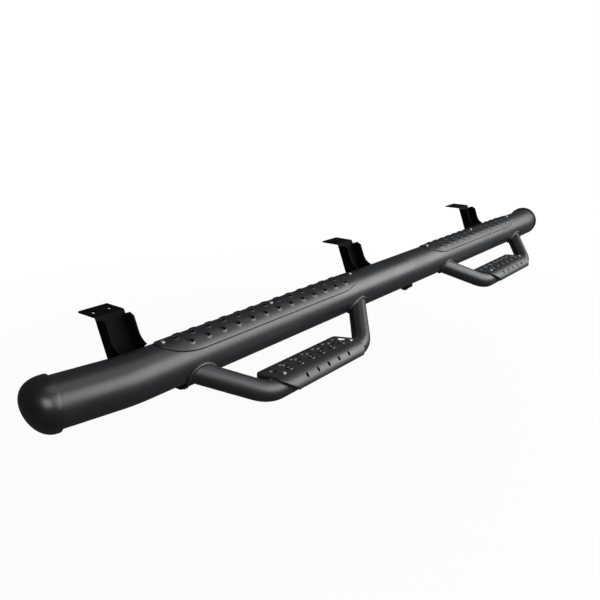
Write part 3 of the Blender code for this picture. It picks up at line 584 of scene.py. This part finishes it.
# %% Pressed holes and plain sheet
RAISED_RADII = np.array((10.2, 9.5, 8.8, 8.0, 7.1, 6.4, 5.9, 5.5, 5.2)) * 0.001
RAISED_HEIGHTS = np.array((0.0, 0.06, 0.24, 0.62, 1.12, 1.48, 1.68, 1.74, 1.70)) * 0.001
HOLE_SIDES = 28
HOLE_MARGIN = 0.0012
GRID_STEP = 0.005
MEET_GAP = 1e-7
INSIDE_ONLY = 1


def hole_row(count, pitch, v, shift=0.0):
    """Centres of a row of holes at one v, spread evenly about u = shift."""
    u = (np.arange(count) - 0.5 * (count - 1)) * pitch + shift
    return np.stack((u, np.full(count, v)), axis=1)


def hole_rings(centres, radii, heights, stretch=0.0):
    """Grids of rings round many centres at once: (u, v) = centre + radius
    (cos(a), sin(a)), pulled apart in v by the stretch, and a height per ring."""
    angle = np.linspace(0.0, 2.0 * np.pi, HOLE_SIDES, endpoint=False)
    u = radii[:, None] * np.cos(angle)
    v = radii[:, None] * np.sin(angle) + stretch * np.sign(np.sin(angle).round(9))
    flat = np.stack((u, v, np.broadcast_to(heights[:, None], u.shape)), axis=-1)
    place = np.zeros((len(centres), 1, 1, 3))
    place[:, 0, 0, :2] = centres
    return place + flat[None]


def clear_of(points, hole, margin=0.0):
    """Which points lie outside a hole grown by a margin.  A slot is measured from
    the line between its two round ends, and a round hole from its centre."""
    ring = hole[0][:, :2]
    centre = ring.mean(axis=0)
    reach = np.abs(ring - centre).max(axis=0) + margin
    offset = (np.abs(points - centre) - (reach - reach.min())).clip(0.0)
    return (offset ** 2).sum(axis=1) > reach.min() ** 2


def plain_sheet(outline, holes, background):
    """Triangles between an outline and the outermost rings of the holes."""
    loops = [outline] + [hole[0][:, :2] for hole in holes]
    points = []
    edges = []
    for loop in loops:
        start = len(points)
        points += loop.tolist()
        index = np.arange(len(loop))
        following = (index + 1) % len(loop)
        edges += (start + np.stack((index, following), axis=1)).tolist()
    points += background.tolist()
    vectors = [Vector(point) for point in points]
    result = delaunay_2d_cdt(vectors, edges, [], INSIDE_ONLY, MEET_GAP)
    flat = np.array([(vert.x, vert.y, 0.0) for vert in result[0]])
    faces = np.array([tuple(face) for face in result[2]])
    middle = flat[faces].mean(axis=1)[:, :2]
    keep = np.ones(len(faces), bool)
    for hole in holes:
        keep &= clear_of(middle, hole)
    return flat, faces[keep]


def free_points(u_values, v_values, holes, inside):
    """Grid points that lie inside the sheet and clear of every hole."""
    u, v = np.meshgrid(u_values, v_values, indexing="ij")
    points = np.stack((u.ravel(), v.ravel()), axis=1)
    keep = inside(points[:, 0], points[:, 1])
    for hole in holes:
        keep &= clear_of(points, hole, HOLE_MARGIN)
    return points[keep]


def pressed_plate(
    name, outline, holes, background, shape, thickness, stands_for, extra=()
):
    """Fill, roll or fold, and thicken one plate."""
    flat, faces = plain_sheet(outline, holes, background)
    sheets = [(shape(flat[:, 0], flat[:, 1], flat[:, 2]), faces)]
    for hole in holes:
        placed = shape(*hole.reshape(-1, 3).T)
        sheets.append(grid_sheet(placed.reshape(hole.shape), False, True))
    sheets += extra
    plate = make_piece(name, sheets, plate_coat, stands_for, PLATE_CREASE)
    wall = plate.modifiers.new("plate_thickness", "SOLIDIFY")
    wall.thickness = thickness
    wall.offset = -1.0
    return plate


# %% [markdown]
# A tread is 700 mm long with half-elliptic ends, and three rows of raised holes,
# the middle row set half a pitch over.  Rolling it is one formula: the way across
# the sheet becomes an angle round the main tube.

# %% Treads
TREAD_CENTRES = {"rear": -0.557, "front": 0.553}
TREAD_STRAIGHT = 0.250
TREAD_END = 0.100
TREAD_HALF_WIDTH = 0.0505
TREAD_THICKNESS = 0.0010
TREAD_GAP = 0.0016
TREAD_PITCH = 0.0462
TREAD_ROW_STEP = 0.0244
TREAD_ROW_COUNTS = (13, 14, 13)
TREAD_TOP = BAR_RADIUS + TREAD_GAP + TREAD_THICKNESS
TREAD_SHIFT = 0.0048
TREAD_TURN = TREAD_SHIFT / TREAD_TOP
TREAD_EDGE = 0.0021
TREAD_EDGE_DROP = 0.0019
TREAD_EDGE_RING = 0.0004
TREAD_END_MARGIN = 0.0050
TREAD_SIDE_MARGIN = 0.0035
TREAD_GRID = (0.3475, 0.045)
TREAD_GRID_ROWS = 19
TREAD_END_STEPS = 57
TREAD_SIDE_STEPS = 101


def tread_centres():
    """Three rows of holes, each row centred."""
    return np.vstack([
        hole_row(count, TREAD_PITCH, (row - 1) * TREAD_ROW_STEP)
        for row, count in enumerate(TREAD_ROW_COUNTS)
    ])


def tread_outline(inset=0.0):
    """Two straight sides and two half-elliptic ends, drawn in by the inset."""
    angle = np.linspace(-0.5 * np.pi, 0.5 * np.pi, TREAD_END_STEPS)
    width = TREAD_HALF_WIDTH - inset
    end_u = TREAD_STRAIGHT + (TREAD_END - inset) * np.cos(angle)
    end = np.stack((end_u, width * np.sin(angle)), axis=1)
    side_u = np.linspace(TREAD_STRAIGHT, -TREAD_STRAIGHT, TREAD_SIDE_STEPS)[1:-1]
    side = np.stack((side_u, np.full_like(side_u, width)), axis=1)
    return np.vstack((end, side, -end, -side))


def inside_tread(u, v):
    """Inside the outline and its bevelled edge by a small margin."""
    over = (np.abs(u) - TREAD_STRAIGHT).clip(0.0) / (TREAD_END - TREAD_END_MARGIN)
    return over ** 2 + (v / (TREAD_HALF_WIDTH - TREAD_SIDE_MARGIN)) ** 2 < 1.0


def edge_drop(u, v):
    """The bevelled edge is straight: at the way d in from the outline the sheet
    has dropped by drop * (1 - d / width)."""
    over = (np.abs(u) - TREAD_STRAIGHT).clip(0.0) / TREAD_END
    size = TREAD_HALF_WIDTH + (TREAD_END - TREAD_HALF_WIDTH) * over ** 2
    way = (1.0 - np.hypot(over, v / TREAD_HALF_WIDTH)) * size
    return TREAD_EDGE_DROP * (1.0 - way / TREAD_EDGE).clip(0.0, 1.0)


def rolled_tread(centre):
    """Rolling rule: the angle is v / top radius plus the tread's turn, and the
    radius is top + height - the edge's drop."""
    def shape(u, v, height):
        angle = v / TREAD_TOP + TREAD_TURN
        radius = TREAD_TOP + height - edge_drop(u, v)
        y, z = -radius * np.sin(angle), radius * np.cos(angle)
        return np.stack((centre + u, y, z), axis=1)
    return shape


tread_holes = list(hole_rings(tread_centres(), RAISED_RADII, RAISED_HEIGHTS))
tread_background = np.vstack((
    free_points(
        np.arange(-TREAD_GRID[0], TREAD_GRID[0] + 0.1 * GRID_STEP, GRID_STEP),
        np.linspace(-TREAD_GRID[1], TREAD_GRID[1], TREAD_GRID_ROWS),
        tread_holes, inside_tread,
    ),
    tread_outline(TREAD_EDGE),
    tread_outline(TREAD_EDGE + TREAD_EDGE_RING),
))
for place, centre in TREAD_CENTRES.items():
    pressed_plate(
        place + "_tread_plate", tread_outline(), tread_holes, tread_background,
        rolled_tread(centre), TREAD_THICKNESS, place + "_tread",
    )

# %% [markdown]
# A step pad is one pressed plate: a flat top with three rows of holes, a nose that
# rolls over the hoop, and a turned-down edge round the ends and the inner side.
# The top and the nose share one flat blank.  The edge is a quarter circle and a
# short straight, carried along the blank's outline.  Two rows of holes are pressed
# up and the middle one down.  A wider plain hole stands near the front end, and
# five slots go through the nose.

# %% Step pads
PAD_THICKNESS = 0.0030
PAD_GAP = 0.0006
PAD_TOP_Z = RUN_END[2] + HOOP_RADIUS + PAD_GAP + PAD_THICKNESS
PAD_INNER_Y = -0.0785
PAD_FLAT = 0.0561
PAD_NOSE_RADIUS = 0.0305
PAD_NOSE_ANGLE = math.radians(88.0)
PAD_END_V = PAD_FLAT + PAD_NOSE_ANGLE * PAD_NOSE_RADIUS
PAD_CORNER = 0.012
PAD_CORNER_V = 0.016
PRESS_SPREAD = 0.75
PRESS_RISE = 1.80
PAD_SCREW = (0.1298, -0.1316)
# Half lengths at the inner side, at the end of the flat top and at the nose's end
PAD_REAR_REACH = (0.1700, 0.1610, 0.1160)
PAD_FRONT_REACH = (0.1300, 0.1530, 0.1400)

# Rows of holes, as places v across the blank and pitches along it
PAD_ROW_COUNT = 6
PAD_ROWS_V = (0.0115, 0.0272, 0.0460)
PAD_PITCH = 0.0407
PAD_SUNK_PITCH = 0.0437
PAD_SUNK_SHIFT = -0.02785
PAD_SIGHT_U = 0.1251
PAD_SIGHT_V = 0.0285
SIGHT_RADII = np.array((11.0, 10.0, 9.6, 9.5)) * 0.001
SLOT_COUNT = 5
SLOT_ANGLE = math.radians(50.0)
SLOT_RADII = np.array((5.0, 4.4, 4.0, 3.9)) * 0.001
SLOT_STRETCH = 0.0016
CUT_HEIGHTS = np.array((0.0, 0.0, -0.0001, -0.0004))

# The turned-down edge: its depth at places v across the blank
EDGE_RADIUS = 0.0032
EDGE_REAR = (
    (0.0000, 0.0120), (0.0320, 0.0118), (0.0345, 0.0098), (0.0375, 0.0072),
    (0.0405, 0.0052), (0.0445, 0.0036), (0.0490, 0.0026),
)
EDGE_FRONT = ((0.0000, 0.0120), (0.0040, 0.0050), (0.0360, 0.0044), (0.0440, 0.0026))
EDGE_STEPS = 7
EDGE_LEAST = 0.0001

# Points along the flat, the nose, a corner and the blank's long sides
FLAT_STEPS = 14
NOSE_STEPS = 18
CORNER_STEPS = 9
INNER_STEPS = 54
NOSE_END_STEPS = 56
PAD_MARGIN = EDGE_RADIUS + 0.0015
PAD_CORNER_MARGIN = 0.010
PAD_NOSE_MARGIN = 0.001
PAD_GRID_ROWS = 13


def pad_point(centre, u, v, height):
    """Folding rule: the section's place at v, plus the height along its normal;
    the nose is an arc whose angle is the way past the flat / nose radius."""
    angle = (v - PAD_FLAT).clip(0.0) / PAD_NOSE_RADIUS
    reach = PAD_NOSE_RADIUS + PAD_THICKNESS + height
    y = PAD_INNER_Y - np.minimum(v, PAD_FLAT) - reach * np.sin(angle)
    z = PAD_TOP_Z - PAD_NOSE_RADIUS - PAD_THICKNESS + reach * np.cos(angle)
    return np.stack((centre + u, y, z), axis=-1)


def folded_pad(centre):
    """The folding rule for one pad's centre."""
    def shape(u, v, height):
        return pad_point(centre, u, v, height)
    return shape


def reach_at(reaches, v):
    """Half length at v: straight over the flat, then a parabola down the nose."""
    over = (v - PAD_FLAT).clip(0.0) / (PAD_END_V - PAD_FLAT)
    flat = np.interp(v, (0.0, PAD_FLAT), reaches[:2])
    return flat + (reaches[2] - reaches[1]) * over ** 2


def pad_border():
    """The blank's outline from the nose's rear end round the inner side to its
    front end, as (u, v), with both inner corners rounded."""
    down = np.concatenate((
        np.linspace(PAD_CORNER_V, PAD_FLAT, FLAT_STEPS),
        np.linspace(PAD_FLAT, PAD_END_V, NOSE_STEPS)[1:],
    ))
    rear_side = np.stack((-reach_at(PAD_REAR_REACH, down), down), axis=1)[::-1]
    front_side = np.stack((reach_at(PAD_FRONT_REACH, down), down), axis=1)
    corners = [
        rear_side[-1], np.array((-PAD_REAR_REACH[0], 0.0)),
        np.array((PAD_FRONT_REACH[0], 0.0)), front_side[0],
    ]
    rear_corner = round_corner(*corners[:3], PAD_CORNER, CORNER_STEPS)
    front_corner = round_corner(*corners[1:], PAD_CORNER, CORNER_STEPS)
    share = np.linspace(0.0, 1.0, INNER_STEPS)[1:-1, None]
    inner = rear_corner[-1] + share * (front_corner[0] - rear_corner[-1])
    return np.vstack((rear_side, rear_corner, inner, front_corner, front_side))


def outward_normals(line):
    """Unit normals of a flat line in (u, v), to the right of the way along it."""
    tangent = np.gradient(line, axis=0)
    tangent /= np.linalg.norm(tangent, axis=1)[:, None]
    return np.stack((tangent[:, 1], -tangent[:, 0]), axis=1)


def edge_ways(fold_line):
    """How far the sheet goes on past the fold line, from the depth that the edge
    has there: an arc's length up to its radius, and one for one below it."""
    stops = np.array(EDGE_REAR), np.array(EDGE_FRONT)
    v = fold_line[:, 1]
    rear, front = (np.interp(v, table[:, 0], table[:, 1]) for table in stops)
    depth = np.where(fold_line[:, 0] < 0.0, rear, front)
    arc = EDGE_RADIUS * np.arccos(1.0 - (depth / EDGE_RADIUS).clip(0.0, 1.0))
    return arc + (depth - EDGE_RADIUS).clip(0.0)


def turned_edge(centre, fold_line, normals):
    """Grid of the edge: at the way e past the fold line the sheet has turned by
    e / radius, so it stands radius sin out and radius (1 - cos) down, and past a
    quarter turn it goes straight down."""
    quarter = 0.5 * math.pi * EDGE_RADIUS
    ways = edge_ways(fold_line)[:, None]
    bent = np.minimum(ways, quarter) * np.linspace(0.0, 1.0, EDGE_STEPS)[None, :]
    straight = (ways - quarter).clip(EDGE_LEAST) * np.array((0.5, 1.0))
    way = np.hstack((bent, bent[:, -1:] + straight))
    angle = (way / EDGE_RADIUS).clip(0.0, 0.5 * math.pi)
    drop = EDGE_RADIUS * (1.0 - np.cos(angle)) + (way - quarter).clip(0.0)
    out = EDGE_RADIUS * np.sin(angle)
    u = fold_line[:, None, 0] + out * normals[:, None, 0]
    v = fold_line[:, None, 1] + out * normals[:, None, 1]
    return pad_point(centre, u, v, -drop)


def pad_holes():
    """Two raised rows and a sunk one between them, the sight hole and the slots."""
    inner, middle, outer = PAD_ROWS_V
    raised = [hole_row(PAD_ROW_COUNT, PAD_PITCH, v) for v in (inner, outer)]
    sunk = hole_row(PAD_ROW_COUNT, PAD_SUNK_PITCH, middle, PAD_SUNK_SHIFT)
    sight = np.array(((PAD_SIGHT_U, PAD_SIGHT_V),))
    slots = hole_row(SLOT_COUNT, PAD_PITCH, PAD_FLAT + SLOT_ANGLE * PAD_NOSE_RADIUS)
    radii = RAISED_RADII[-1] + (RAISED_RADII - RAISED_RADII[-1]) * PRESS_SPREAD
    heights = PRESS_RISE * RAISED_HEIGHTS
    return [
        *hole_rings(np.vstack(raised), radii, heights),
        *hole_rings(sunk, radii, -heights),
        *hole_rings(sight, SIGHT_RADII, CUT_HEIGHTS),
        *hole_rings(slots, SLOT_RADII, CUT_HEIGHTS, stretch=SLOT_STRETCH),
    ]


pad_line = pad_border()
pad_normals = outward_normals(pad_line)
pad_fold_line = pad_line - EDGE_RADIUS * pad_normals
pad_fold_line[:, 1] = pad_fold_line[:, 1].clip(None, PAD_END_V)
pad_fold_line[[0, -1], 1] = PAD_END_V
nose_u = np.linspace(pad_fold_line[-1, 0], pad_fold_line[0, 0], NOSE_END_STEPS)[1:-1]
nose_end = np.stack((nose_u, np.full_like(nose_u, PAD_END_V)), axis=1)
pad_blank = np.vstack((pad_fold_line, nose_end))


def inside_pad(u, v):
    """Inside the fold line by a small margin."""
    corner = (PAD_CORNER_MARGIN - v).clip(0.0)
    low = -reach_at(PAD_REAR_REACH, v) + PAD_MARGIN + corner
    high = reach_at(PAD_FRONT_REACH, v) - PAD_MARGIN - corner
    across = (v > PAD_MARGIN) & (v < PAD_END_V - PAD_NOSE_MARGIN)
    return across & (u > low) & (u < high)


HOLES_OF_PAD = pad_holes()
pad_background = free_points(
    np.arange(-PAD_REAR_REACH[0], PAD_FRONT_REACH[1], GRID_STEP),
    np.concatenate((
        np.linspace(GRID_STEP, PAD_FLAT, PAD_GRID_ROWS),
        np.linspace(PAD_FLAT, PAD_END_V, NOSE_STEPS)[1:-1],
    )),
    HOLES_OF_PAD, inside_pad,
)
for place, centre in HOOP_CENTRES.items():
    edge = turned_edge(centre, pad_fold_line, pad_normals)
    pressed_plate(
        place + "_pad_plate", pad_blank, HOLES_OF_PAD, pad_background,
        folded_pad(centre), PAD_THICKNESS, place + "_step_pad", extra=[grid_sheet(edge)],
    )

# %% [markdown]
# The plates are held by low button-headed screws with a six-sided socket.  The
# head is one surface over radius and angle: a flat dome outside, and inside the
# hexagon a drop to the socket's floor.

# %% Screws
SCREW_RADIUS = 0.0052
SOCKET = 0.0028
HEAD_SIDES = 36
HEAD_SEAT = 0.0002
TREAD_SCREW_X = 0.333
# Each ring's share of the hexagon, its share of the head's radius, and its height
HEAD_RINGS = np.array((
    (0.00, 0.00, 0.0013),
    (1.00, 0.00, 0.0013),
    (1.00, 0.00, 0.0026),
    (1.06, 0.00, 0.0029),
    (0.00, 0.55, 0.0028),
    (0.00, 0.75, 0.0024),
    (0.00, 0.90, 0.0017),
    (0.00, 1.00, 0.0006),
    (0.00, 1.00, -0.0002),
    (0.00, 0.00, -0.0002),
))


def screw_head(seat, turn):
    """Rings of points: the hexagon's radius is SOCKET / cos(a mod 60 - 30).  The
    head stands square on the sheet, which is turned about X."""
    angle = np.linspace(0.0, 2.0 * np.pi, HEAD_SIDES, endpoint=False)
    hexagon = SOCKET / np.cos((angle % (np.pi / 3.0)) - np.pi / 6.0)
    part, radius, height = HEAD_RINGS.T
    rings = part[:, None] * hexagon[None, :] + radius[:, None] * SCREW_RADIUS
    x = rings * np.cos(angle)
    y = rings * np.sin(angle)
    z = np.broadcast_to(height[:, None], x.shape)
    across = y * math.cos(turn) - z * math.sin(turn)
    upward = y * math.sin(turn) + z * math.cos(turn)
    return np.stack((x, across, upward), axis=-1) + np.asarray(seat)


for place in ("rear", "front"):
    tread = TREAD_CENTRES[place]
    hoop = HOOP_CENTRES[place]
    side = -TREAD_TOP * math.sin(TREAD_TURN)
    top = TREAD_TOP * math.cos(TREAD_TURN)
    seats = {
        "_tread_screw_rear": (tread - TREAD_SCREW_X, side, top, TREAD_TURN),
        "_tread_screw_middle": (tread, side, top, TREAD_TURN),
        "_tread_screw_front": (tread + TREAD_SCREW_X, side, top, TREAD_TURN),
        "_pad_screw_rear": (hoop - PAD_SCREW[0], PAD_SCREW[1], PAD_TOP_Z, 0.0),
        "_pad_screw_front": (hoop + PAD_SCREW[0], PAD_SCREW[1], PAD_TOP_Z, 0.0),
    }
    for ending, (x, y, z, turn) in seats.items():
        head = screw_head((x, y, z + HEAD_SEAT), turn)
        make_piece(
            place + ending + "_head", [grid_sheet(head, False, True)], bright_zinc,
            place + ending,
        )

# %% [markdown]
# Brackets, lugs and their bolts keep the imported shape, and only get a finish; the
# brackets and lugs take the coat with painted shade.
# The bolts sit in the shade under the tube.

# %% Finish the nodes that stay
for place in ("rear", "middle", "front"):
    for ending, material in (
        ("_bracket", bracket_coat), ("_lug", bracket_coat), ("_lug_bolt", bright_zinc)
    ):
        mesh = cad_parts[place + ending].data
        mesh.materials.clear()
        mesh.materials.append(material)

# %% [markdown]
# The stage is a floor well below the step, which hangs from its brackets.  The
# camera sees floor and sky as white, and round the step a little of the floor's
# own shading stays, which keeps its soft shadow.  Reflections see only a small
# share of that white, so that the undersides of the coated tubes stay dark.

# %% Floor and backdrop
FLOOR_Z = AXIS[2] - 0.46
FLOOR_REACH = 40.0
SHADOW_REACH = (0.6, 2.6)
SHADOW_WHITE = 0.94
FLOOR_MIRRORED = 0.05


def add_range(tree, value, start, end, low, high):
    """A clamped Map Range from start..end to low..high."""
    node = tree.nodes.new("ShaderNodeMapRange")
    for label, number in (
        ("From Min", start), ("From Max", end), ("To Min", low), ("To Max", high)
    ):
        node.inputs[label].default_value = number
    tree.links.new(value, node.inputs["Value"])
    return node.outputs["Result"]


def white_shares(tree, mirrored):
    """How white a ray sees the stage, as two factors: 1 straight from the camera
    or through glass, and the mirrored share in a reflection."""
    rays = tree.nodes.new("ShaderNodeLightPath").outputs
    direct = add_math(tree, "ADD", rays["Is Camera Ray"], rays["Is Transmission Ray"])
    return direct, add_math(tree, "MULTIPLY", rays["Is Glossy Ray"], mirrored)


def stage_material():
    """Grey floor that the camera sees as white; far from the step the white is
    full, and near it a share of the floor's own shading is left."""
    material = bpy.data.materials.new("pale_floor")
    material.use_nodes = True
    tree = material.node_tree
    shader = tree.nodes["Principled BSDF"]
    ground = tree.nodes.new("ShaderNodeMix")
    ground.data_type = "RGBA"
    ground.inputs["A"].default_value = (0.04, 0.04, 0.04, 1.0)
    ground.inputs["B"].default_value = (0.80, 0.80, 0.80, 1.0)
    shader.inputs["Roughness"].default_value = 0.9
    shader.inputs["Specular IOR Level"].default_value = 0.0
    glow = tree.nodes.new("ShaderNodeEmission")
    glow.inputs["Color"].default_value = (1.0, 1.0, 1.0, 1.0)
    glow.inputs["Strength"].default_value = 1.0
    place = tree.nodes.new("ShaderNodeTexCoord").outputs["Object"]
    far = tree.nodes.new("ShaderNodeVectorMath")
    far.operation = "LENGTH"
    tree.links.new(place, far.inputs[0])
    white = add_range(tree, far.outputs["Value"], *SHADOW_REACH, SHADOW_WHITE, 1.0)
    rays = tree.nodes.new("ShaderNodeLightPath")
    tree.links.new(rays.outputs["Is Camera Ray"], ground.inputs["Factor"])
    tree.links.new(ground.outputs["Result"], shader.inputs["Base Color"])
    direct, mirrored = white_shares(tree, FLOOR_MIRRORED)
    seen = add_math(tree, "MULTIPLY", direct, white)
    mix = tree.nodes.new("ShaderNodeMixShader")
    tree.links.new(add_math(tree, "ADD", seen, mirrored), mix.inputs["Fac"])
    tree.links.new(shader.outputs["BSDF"], mix.inputs[1])
    tree.links.new(glow.outputs["Emission"], mix.inputs[2])
    output = tree.nodes["Material Output"]
    tree.links.new(mix.outputs["Shader"], output.inputs["Surface"])
    return material


floor_corners = [
    (x * FLOOR_REACH, y * FLOOR_REACH, FLOOR_Z)
    for x, y in ((-1.0, -1.0), (1.0, -1.0), (1.0, 1.0), (-1.0, 1.0))
]
floor_mesh = bpy.data.meshes.new("floor")
floor_mesh.from_pydata(floor_corners, [], [(0, 1, 2, 3)])
floor_mesh.materials.append(stage_material())
floor = bpy.data.objects.new("floor", floor_mesh)
bpy.context.scene.collection.objects.link(floor)

# %% [markdown]
# A long dark tube shows its lights as bands.  A tall soft light stands out beside
# the bar and a second one beyond its front end, so that the coat shows one broad
# band along the whole length.  A dim light from above softens the upper edge, and
# a small warm one beyond the rear end gives the rear cap its spot.


# %% Lights and sky
SKY_MIRRORED = 0.02
SKY_DIM = (0.050, 0.052, 0.056, 1.0)


def add_light(name, place, target, size, watts, color):
    """A rectangular soft light that looks at a target."""
    lamp = bpy.data.lights.new(name, "AREA")
    lamp.shape = "RECTANGLE"
    lamp.size, lamp.size_y = size
    lamp.energy = watts
    lamp.color = color
    item = bpy.data.objects.new(name, lamp)
    item.location = place
    aim = Vector(target) - Vector(place)
    item.rotation_euler = aim.to_track_quat("-Z", "Y").to_euler()
    bpy.context.scene.collection.objects.link(item)


add_light(
    "side_light", place=(1.6, -2.8, 1.35), target=(0.3, -0.15, -0.05),
    size=(5.6, 2.6), watts=150.0, color=(0.95, 0.98, 1.0),
)
add_light(
    "top_light", place=(0.4, -0.9, 2.9), target=(0.2, -0.1, -0.1),
    size=(3.6, 1.6), watts=14.0, color=(1.0, 1.0, 1.0),
)
add_light(
    "front_light", place=(5.0, -2.3, 1.5), target=(0.5, -0.1, 0.0),
    size=(4.5, 2.4), watts=36.0, color=(0.95, 0.98, 1.0),
)
add_light(
    "rear_light", place=(-2.5, -2.4, 1.25), target=(-1.1, -0.05, 0.0),
    size=(1.5, 1.5), watts=26.0, color=(1.0, 0.97, 0.92),
)


def make_sky():
    """White for the camera, dim grey for all other rays."""
    world = bpy.data.worlds.new("studio")
    bpy.context.scene.world = world
    world.use_nodes = True
    tree = world.node_tree
    tree.nodes.clear()
    dim = tree.nodes.new("ShaderNodeBackground")
    dim.inputs["Color"].default_value = SKY_DIM
    white = tree.nodes.new("ShaderNodeBackground")
    white.inputs["Color"].default_value = (1.0, 1.0, 1.0, 1.0)
    direct, mirrored = white_shares(tree, SKY_MIRRORED)
    mix = tree.nodes.new("ShaderNodeMixShader")
    output = tree.nodes.new("ShaderNodeOutputWorld")
    tree.links.new(add_math(tree, "ADD", direct, mirrored), mix.inputs["Fac"])
    tree.links.new(dim.outputs["Background"], mix.inputs[1])
    tree.links.new(white.outputs["Background"], mix.inputs[2])
    tree.links.new(mix.outputs["Shader"], output.inputs["Surface"])


make_sky()
bpy.context.scene.view_settings.view_transform = "Standard"

# %% [markdown]
# The camera stands beside the rear end, a little above the bar, and looks forward
# along it.  Its place and its lens come from fitting the outlines of the tube,
# hoops and caps.

# %% Camera
CAMERA_PLACE = np.array((-1.7073, -1.0027, 0.5408)) + AXIS
CAMERA_YAW = 0.902
CAMERA_PITCH = 0.306
FOCAL_PIXELS = 670.42
IMAGE_PIXELS = 600.0
SENSOR_MM = 36.0

view = bpy.data.cameras.new("view")
view.sensor_width = SENSOR_MM
view.lens = SENSOR_MM * FOCAL_PIXELS / IMAGE_PIXELS
camera = bpy.data.objects.new("view", view)
camera.location = CAMERA_PLACE.tolist()
forward = Vector((
    math.sin(CAMERA_YAW) * math.cos(CAMERA_PITCH),
    math.cos(CAMERA_YAW) * math.cos(CAMERA_PITCH),
    -math.sin(CAMERA_PITCH),
))
camera.rotation_euler = forward.to_track_quat("-Z", "Y").to_euler()
bpy.context.scene.collection.objects.link(camera)
bpy.context.scene.camera = camera
print("lens:", round(view.lens, 2), "mm")
